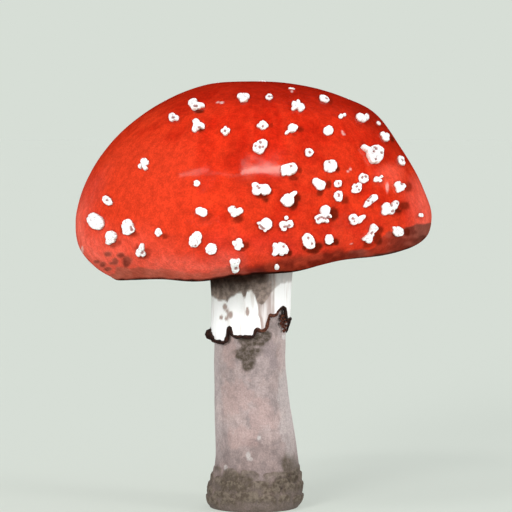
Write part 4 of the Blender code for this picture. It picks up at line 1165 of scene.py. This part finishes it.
skirt = {
    "top": 92, "clear": 0.4, "columns": 480, "outerRows": 60, "innerRows": 14,
    # share of the way from the hem to the top, how far the outer face stands off the stem
    "face": [(0, 1.5), (0.05, 1.35), (0.33, 1.35), (0.65, 1.9), (1, 1.45)],
    # the torn hem as seen in front, from left to right: across, up
    "hem": [(-14.2, 57.4), (-13.4, 56.0), (-12.0, 55.4), (-10.3, 55.0), (-9.2, 55.8), (-8.8, 57.6),
            (-8.6, 60.0), (-8.2, 60.2), (-7.8, 58.6), (-7.2, 57.5), (-5.7, 57.0), (-3.0, 57.1),
            (-0.5, 57.1), (0.2, 57.6), (0.5, 59.0), (1.1, 59.7), (2.2, 59.1), (3.6, 59.2), (4.4, 60.3),
            (4.6, 61.6), (4.7, 63.2), (5.3, 64.6), (6.6, 64.2), (7.4, 64.6), (7.8, 65.6), (8.8, 66.7),
            (9.6, 67.1), (10.4, 66.4), (10.7, 64.4), (11.2, 62.8)],
    # and on round the right side and the back: degrees from the right by way of the back, height
    "hemBehind": [(4, 63.2), (14, 61), (24, 58), (36, 61.8), (50, 60), (64, 65), (76, 61), (90, 60.4),
                  (104, 56.6), (118, 62.2), (134, 60), (146, 64.5), (158, 61), (172, 58.4)],
    "beadLeft": 0.88, "beadRight": 0.52, "beadOff": 1.25, "beadSides": 8,
    # at degrees from the right by way of the back, how much thicker, over how many degrees
    "knot": (188, 1.0, 9),
    "rustTurn": 297,              # in the same degrees, the middle of the bead's rusty stretch
    "granules": [(11.0, 65.0), (10.3, 64.4), (11.3, 63.7), (10.5, 63.2), (9.8, 62.6), (10.8, 62.2),
                 (10.2, 61.4), (11.1, 61.0), (10.6, 60.3), (9.9, 60.7), (11.0, 59.6), (10.4, 59.2),
                 (4.2, 60.4), (5.2, 63.2), (9.6, 64.2), (9.2, 63.2), (11.6, 62.4), (11.5, 65.0),
                 (9.4, 61.6), (4.8, 61.6), (6.1, 64.2), (3.6, 59.9)],
    "granuleHeight": 62.0, "granuleSizes": (0.4, 0.66), "seed": 61,
    # as seen: lower edge of the painted shadow under the cap, across and up
    "capShadowEdge": [(-14.4, 71.2), (-12.1, 69.4), (-8.9, 68.8), (-8.4, 70.2), (-4.2, 71.9), (-3.5, 70.3),
                 (-2.8, 70.3), (-2.3, 72.1), (-0.9, 72.8), (0.3, 71.2), (1, 68.8), (2.5, 67.5), (5, 70.5),
                 (7, 73.5), (9, 75), (13, 75.6)],
    "capShadowBehind": (72, 78),
    # as seen: the lip's lower edge in front of it, across and up
    "lipSeen": [(-14, 76.6), (-8, 76.9), (-1, 78), (5, 79.3), (13, 80.6)],
    "strokes": [(-9.6, 67.2, .9, 1.1), (-8.9, 66, .7, .8), (-8.1, 64.6, 1, 1.3), (-10.9, 63.8, .6, .8),
                (-9.2, 63.4, .8, .7), (-2.1, 65.4, .6, 1.3), (-2.2, 66.8, .35, .5)],
    "shades": {"white": ((0.97, 0.955, 0.965), (0.74, 0.68, 0.66)), "wedge": (0.50, 0.40, 0.38),
               "stroke": (0.42, 0.32, 0.29), "capShadow": ((0.29, 0.222, 0.195), (0.030, 0.014, 0.010)),
               "hem": (0.16, 0.07, 0.045), "bead": ((0.018, 0.009, 0.008), (0.050, 0.018, 0.012)),
               "rust": ((0.06, 0.018, 0.012), (0.15, 0.05, 0.028))},
}


def hemLine():
    # The hem's height all the way round, at degrees from the right by way of the back. Seen places are
    # carried to the sleeve's face, which stands nearer to the eye than the plane that they are seen in.
    heights = np.array([z for x, z in skirt["hem"]])
    centre, reach = stemMiddle(60.0), stemRadius(60.0) + 1.4
    cosine = np.clip((np.array([x for x, z in skirt["hem"]]) - centre) / reach / 1.013, -0.995, 0.995)
    degrees = 360 - np.degrees(np.arccos(cosine))
    nearer = reach * np.sqrt(1 - cosine ** 2)
    heights = heights + (eye[2] - heights) * nearer / -eye[1]
    pairs = [*skirt["hemBehind"], *zip(degrees.tolist(), heights.tolist())]
    return [*pairs, (360 + pairs[0][0], pairs[0][1])]


def skirtPaint():
    # Papery white, greyer along fine folds and in a grey fold in front as painted shade, brown strokes, and a
    # painted shadow under the cap.
    shades = skirt["shades"]
    material, tree, shader = startMaterial("skirtPaint", 0.7, 0.05)
    place = objectPlace(tree)
    folds = mottle(tree, place, 1.6, 3, 0.5, (1, 1, 0.08))
    # greyer along the fine folds, partly painted shade
    colour = mixed(tree, faded(tree, folds, 0.5, 0.72), *shades["white"])
    # painted shade in the grey fold
    wedge = sumOf(tree, pointValue(tree, "wedge"), faded(tree, folds, 0.34, 0.6, 0.35, 1), "MULTIPLY")
    colour = mixed(tree, wedge, colour, shades["wedge"])
    colour = mixed(tree, pointValue(tree, "stroke"), colour, shades["stroke"])
    # the painted shadow of the cap, darkest close below the lip
    capShadow = mixed(tree, pointValue(tree, "depth"), *shades["capShadow"])
    capShadow = shaded(tree, capShadow, mottle(tree, place, 1.6, 4, 0.6), 0.34, 0.66, 0.66, 1.36)
    colour = mixed(tree, pointValue(tree, "capShadow"), colour, capShadow)
    colour = mixed(tree, faded(tree, pointValue(tree, "hem"), 0.1, 0.9), colour, shades["hem"])
    colourAndBump(tree, shader, colour, sumOf(tree, folds, mottle(tree, place, 0.5, 2)), 0.12)
    return material


def hemPaint():
    # Almost black brown, partly painted shade along the hem, and rust brown on the grains.
    shades = skirt["shades"]
    material, tree, shader = startMaterial("hemPaint", 0.6, 0.35)
    place = objectPlace(tree)
    colour = mixed(tree, faded(tree, mottle(tree, place, 0.7), 0.4, 0.65), *shades["bead"])
    rust = mixed(tree, faded(tree, mottle(tree, place, 0.6), 0.4, 0.6), *shades["rust"])
    colour = mixed(tree, pointValue(tree, "rust"), colour, rust)
    colourAndBump(tree, shader, colour, mottle(tree, place, 0.35, 2), 0.15)
    return material


def skirtWashes(grid, heights, low):
    # Where each colour lies on the sleeve, from 0 to 1, from drawn edges as seen.
    across, up = asSeen(grid)
    front = grid[..., 1] < 0
    ragged = cellNoise(grid, 1.4, 44)
    # the grey fold right of the middle, painted shade in a fold, widens downwards from the painted shadow,
    # with strokes beyond it
    lean = across + 0.3 * ragged - (0.4 + (72.5 - up) * 0.14)
    wedge = smoothStep(0, 0.35, lean) * smoothStep(8.4, 6.6, across) * front
    beyond = smoothStep(6.8, 7.0, across) * smoothStep(8.2, 8.0, across) * smoothStep(75, 72, up) * front
    stroke = patches(grid, skirt["strokes"], 0.3 * ragged)
    line = smoothStep(0, 0.2, lean) * smoothStep(1.2, 0.6, lean + 0.3 * ragged) * front
    # a dark band just above the hem, partly a browned edge and partly painted shade
    hem = smoothStep(0.9, 0.2, heights - low)
    hem[skirt["outerRows"]:] = 0
    # a painted shadow under the cap, most of all in the middle
    edge = straightValue(skirt["capShadowEdge"], across)
    capShadow = smoothStep(-0.3, 0.6, up - edge + 0.4 * ragged) * (1 - 0.45 * smoothStep(3, 8, across))
    behind = smoothStep(0, 9, grid[..., 1])
    capShadow = (1 - behind) * capShadow + behind * smoothStep(*skirt["capShadowBehind"], grid[..., 2] + ragged)
    # and darkest close below the lip, whose height as seen rises to the right
    depth = smoothStep(6.5, 0.5, straightValue(skirt["lipSeen"], across) - up + 0.6 * ragged)
    return {"wedge": np.clip(wedge - beyond, 0, 1), "stroke": np.maximum(stroke, 0.8 * line), "hem": hem,
            "capShadow": capShadow, "depth": depth}


def buildSkirt():
    # A sleeve round the stem: up the outer face from the torn hem, over the top and down the inner face.
    # The outer face stands off the stem by a drawn curve and pleats.
    count, top, clear = skirt["columns"], skirt["top"], skirt["clear"]
    turn = np.linspace(0, 2 * np.pi, count, endpoint=False)
    degrees = np.degrees(turn)
    around = np.stack([14 * np.cos(turn), 14 * np.sin(turn), 0 * turn], -1)
    low = straightValue(hemLine(), np.where(degrees < skirt["hemBehind"][0][0], degrees + 360, degrees))
    low = 0.25 * np.roll(low, 1) + 0.5 * low + 0.25 * np.roll(low, -1)
    low = low + 0.12 * cellNoise(around, 0.8, 41)
    share = np.linspace(0, 1, skirt["outerRows"])[:, None] ** 1.15
    height = low + share * (top - low)
    rough = around + height[..., None] * (0, 0, 0.07)
    pleats = 0.5 * cellNoise(rough, 2.3, 42) + 0.3 * cellNoise(rough, 1.0, 43)
    off = smoothValue(skirt["face"], share + 0 * turn) + 0.2 * pleats + 0.1 * np.sin(11 * turn) - 0.12
    inner = np.linspace(1, 0, skirt["innerRows"])[:, None]
    innerHeight = low + 0.25 + inner * (top + 0.3 - low)
    ridge = np.array([[top + 0.7]]) + 0 * turn
    heights = np.concatenate([height, ridge, innerHeight])
    offs = np.concatenate([off, (off[-1:] + clear) / 2, np.full(innerHeight.shape, clear)])
    reach = stemRadius(heights) + offs
    x = stemMiddle(heights) + reach * np.cos(turn)
    grid = np.stack([x, reach * np.sin(turn), heights], -1)
    faces = [gridFaces(len(grid), count), closingFaces(len(grid), count)]
    addPiece("skirtVeil", grid, faces, skirtPaint(), "skirt", skirtWashes(grid, heights, low))
    return turn, low


def hemBead(turn, low):
    # A round section of changing width, carried along the hem square to its path.
    radius = stemRadius(low) + skirt["beadOff"]
    path = np.stack([stemMiddle(low) + radius * np.cos(turn), radius * np.sin(turn), low + 0.1], -1)
    toRight = 0.5 + 0.5 * np.cos(turn - 5.7)
    bead = skirt["beadLeft"] + (skirt["beadRight"] - skirt["beadLeft"]) * toRight
    bead = bead * (1 + 0.35 * cellNoise(path, 1.3, 51) + 0.2 * cellNoise(path, 0.6, 52))
    bead = bead * (0.75 + 0.25 * smoothStep(0.2, -0.2, np.sin(turn)))
    place, more, spread = skirt["knot"]
    bead = bead * (1 + more * np.exp(-((np.degrees(turn) - place) / spread) ** 2))
    along = np.roll(path, -1, axis=0) - np.roll(path, 1, axis=0)
    along = along / np.linalg.norm(along, axis=-1, keepdims=True)
    out = np.stack([np.cos(turn), np.sin(turn), 0 * turn], -1)
    out = out - along * np.sum(out * along, -1, keepdims=True)
    out = out / np.linalg.norm(out, axis=-1, keepdims=True)
    up = np.cross(along, out)
    section = np.linspace(0, 2 * np.pi, skirt["beadSides"], endpoint=False)[:, None]
    ring = out[:, None] * np.cos(section) + up[:, None] * np.sin(section)
    return path[:, None] + ring * bead[:, None, None]


def buildHem(turn, low):
    # A rolled, dark bead along the hem, and grains of rust brown where it is torn highest.
    count, section = len(turn), skirt["beadSides"]
    rusty = smoothStep(0.93, 0.99, np.cos(turn - math.radians(skirt["rustTurn"])))
    points, values = [hemBead(turn, low).reshape(-1, 3)], [np.repeat(rusty, section)]
    faces = [gridFaces(count, section), closingFaces(count, section)]

    # a grain is a small uneven ball of four rings and two tips, placed on the stem as seen
    draw = random.Random(skirt["seed"])
    rows, sides = 4, 8
    levels = np.linspace(-0.5 * np.pi, 0.5 * np.pi, rows + 2)[1:-1, None]
    turns = np.linspace(0, 2 * np.pi, sides, endpoint=False)
    ball = np.stack([np.cos(levels) * np.cos(turns), np.cos(levels) * np.sin(turns),
                     np.sin(levels) + 0 * turns], -1)
    ball = np.concatenate([ball.reshape(-1, 3), [[0, 0, -1], [0, 0, 1]]])
    bottom, top = rows * sides, rows * sides + 1
    first = len(points[0])
    middle, radius = float(stemMiddle(skirt["granuleHeight"])), float(stemRadius(skirt["granuleHeight"]))
    for x, z in skirt["granules"]:
        cosine = min((x - middle) / (radius + 1) / 1.013, 0.985)
        depth = math.sqrt(1 - cosine ** 2) * (radius + 0.7)
        centre = np.array([middle + cosine * (radius + 0.7), -depth, z + (eye[2] - z) * depth / -eye[1]])
        size = draw.uniform(*skirt["granuleSizes"])
        grain = centre + ball * size * (1 + 0.25 * cellNoise(ball * 3 + x, 1.7, 62))[:, None]
        points.append(grain)
        values.append(np.ones(len(grain)))
        faces += [gridFaces(rows, sides, first), fanFaces(first + top, first + (rows - 1) * sides, sides),
                  fanFaces(first + bottom, first, sides, back=True)]
        first += len(grain)
    values = {"rust": np.concatenate(values)}
    return addPiece("skirtHem", np.concatenate(points), faces, hemPaint(), "skirt", values)


addCamera()
buildStudio()
capSkin, skinGrid = buildCapSkin()
buildWarts(capSkin, skinGrid)
buildGills()
buildStem()
buildHem(*buildSkirt())
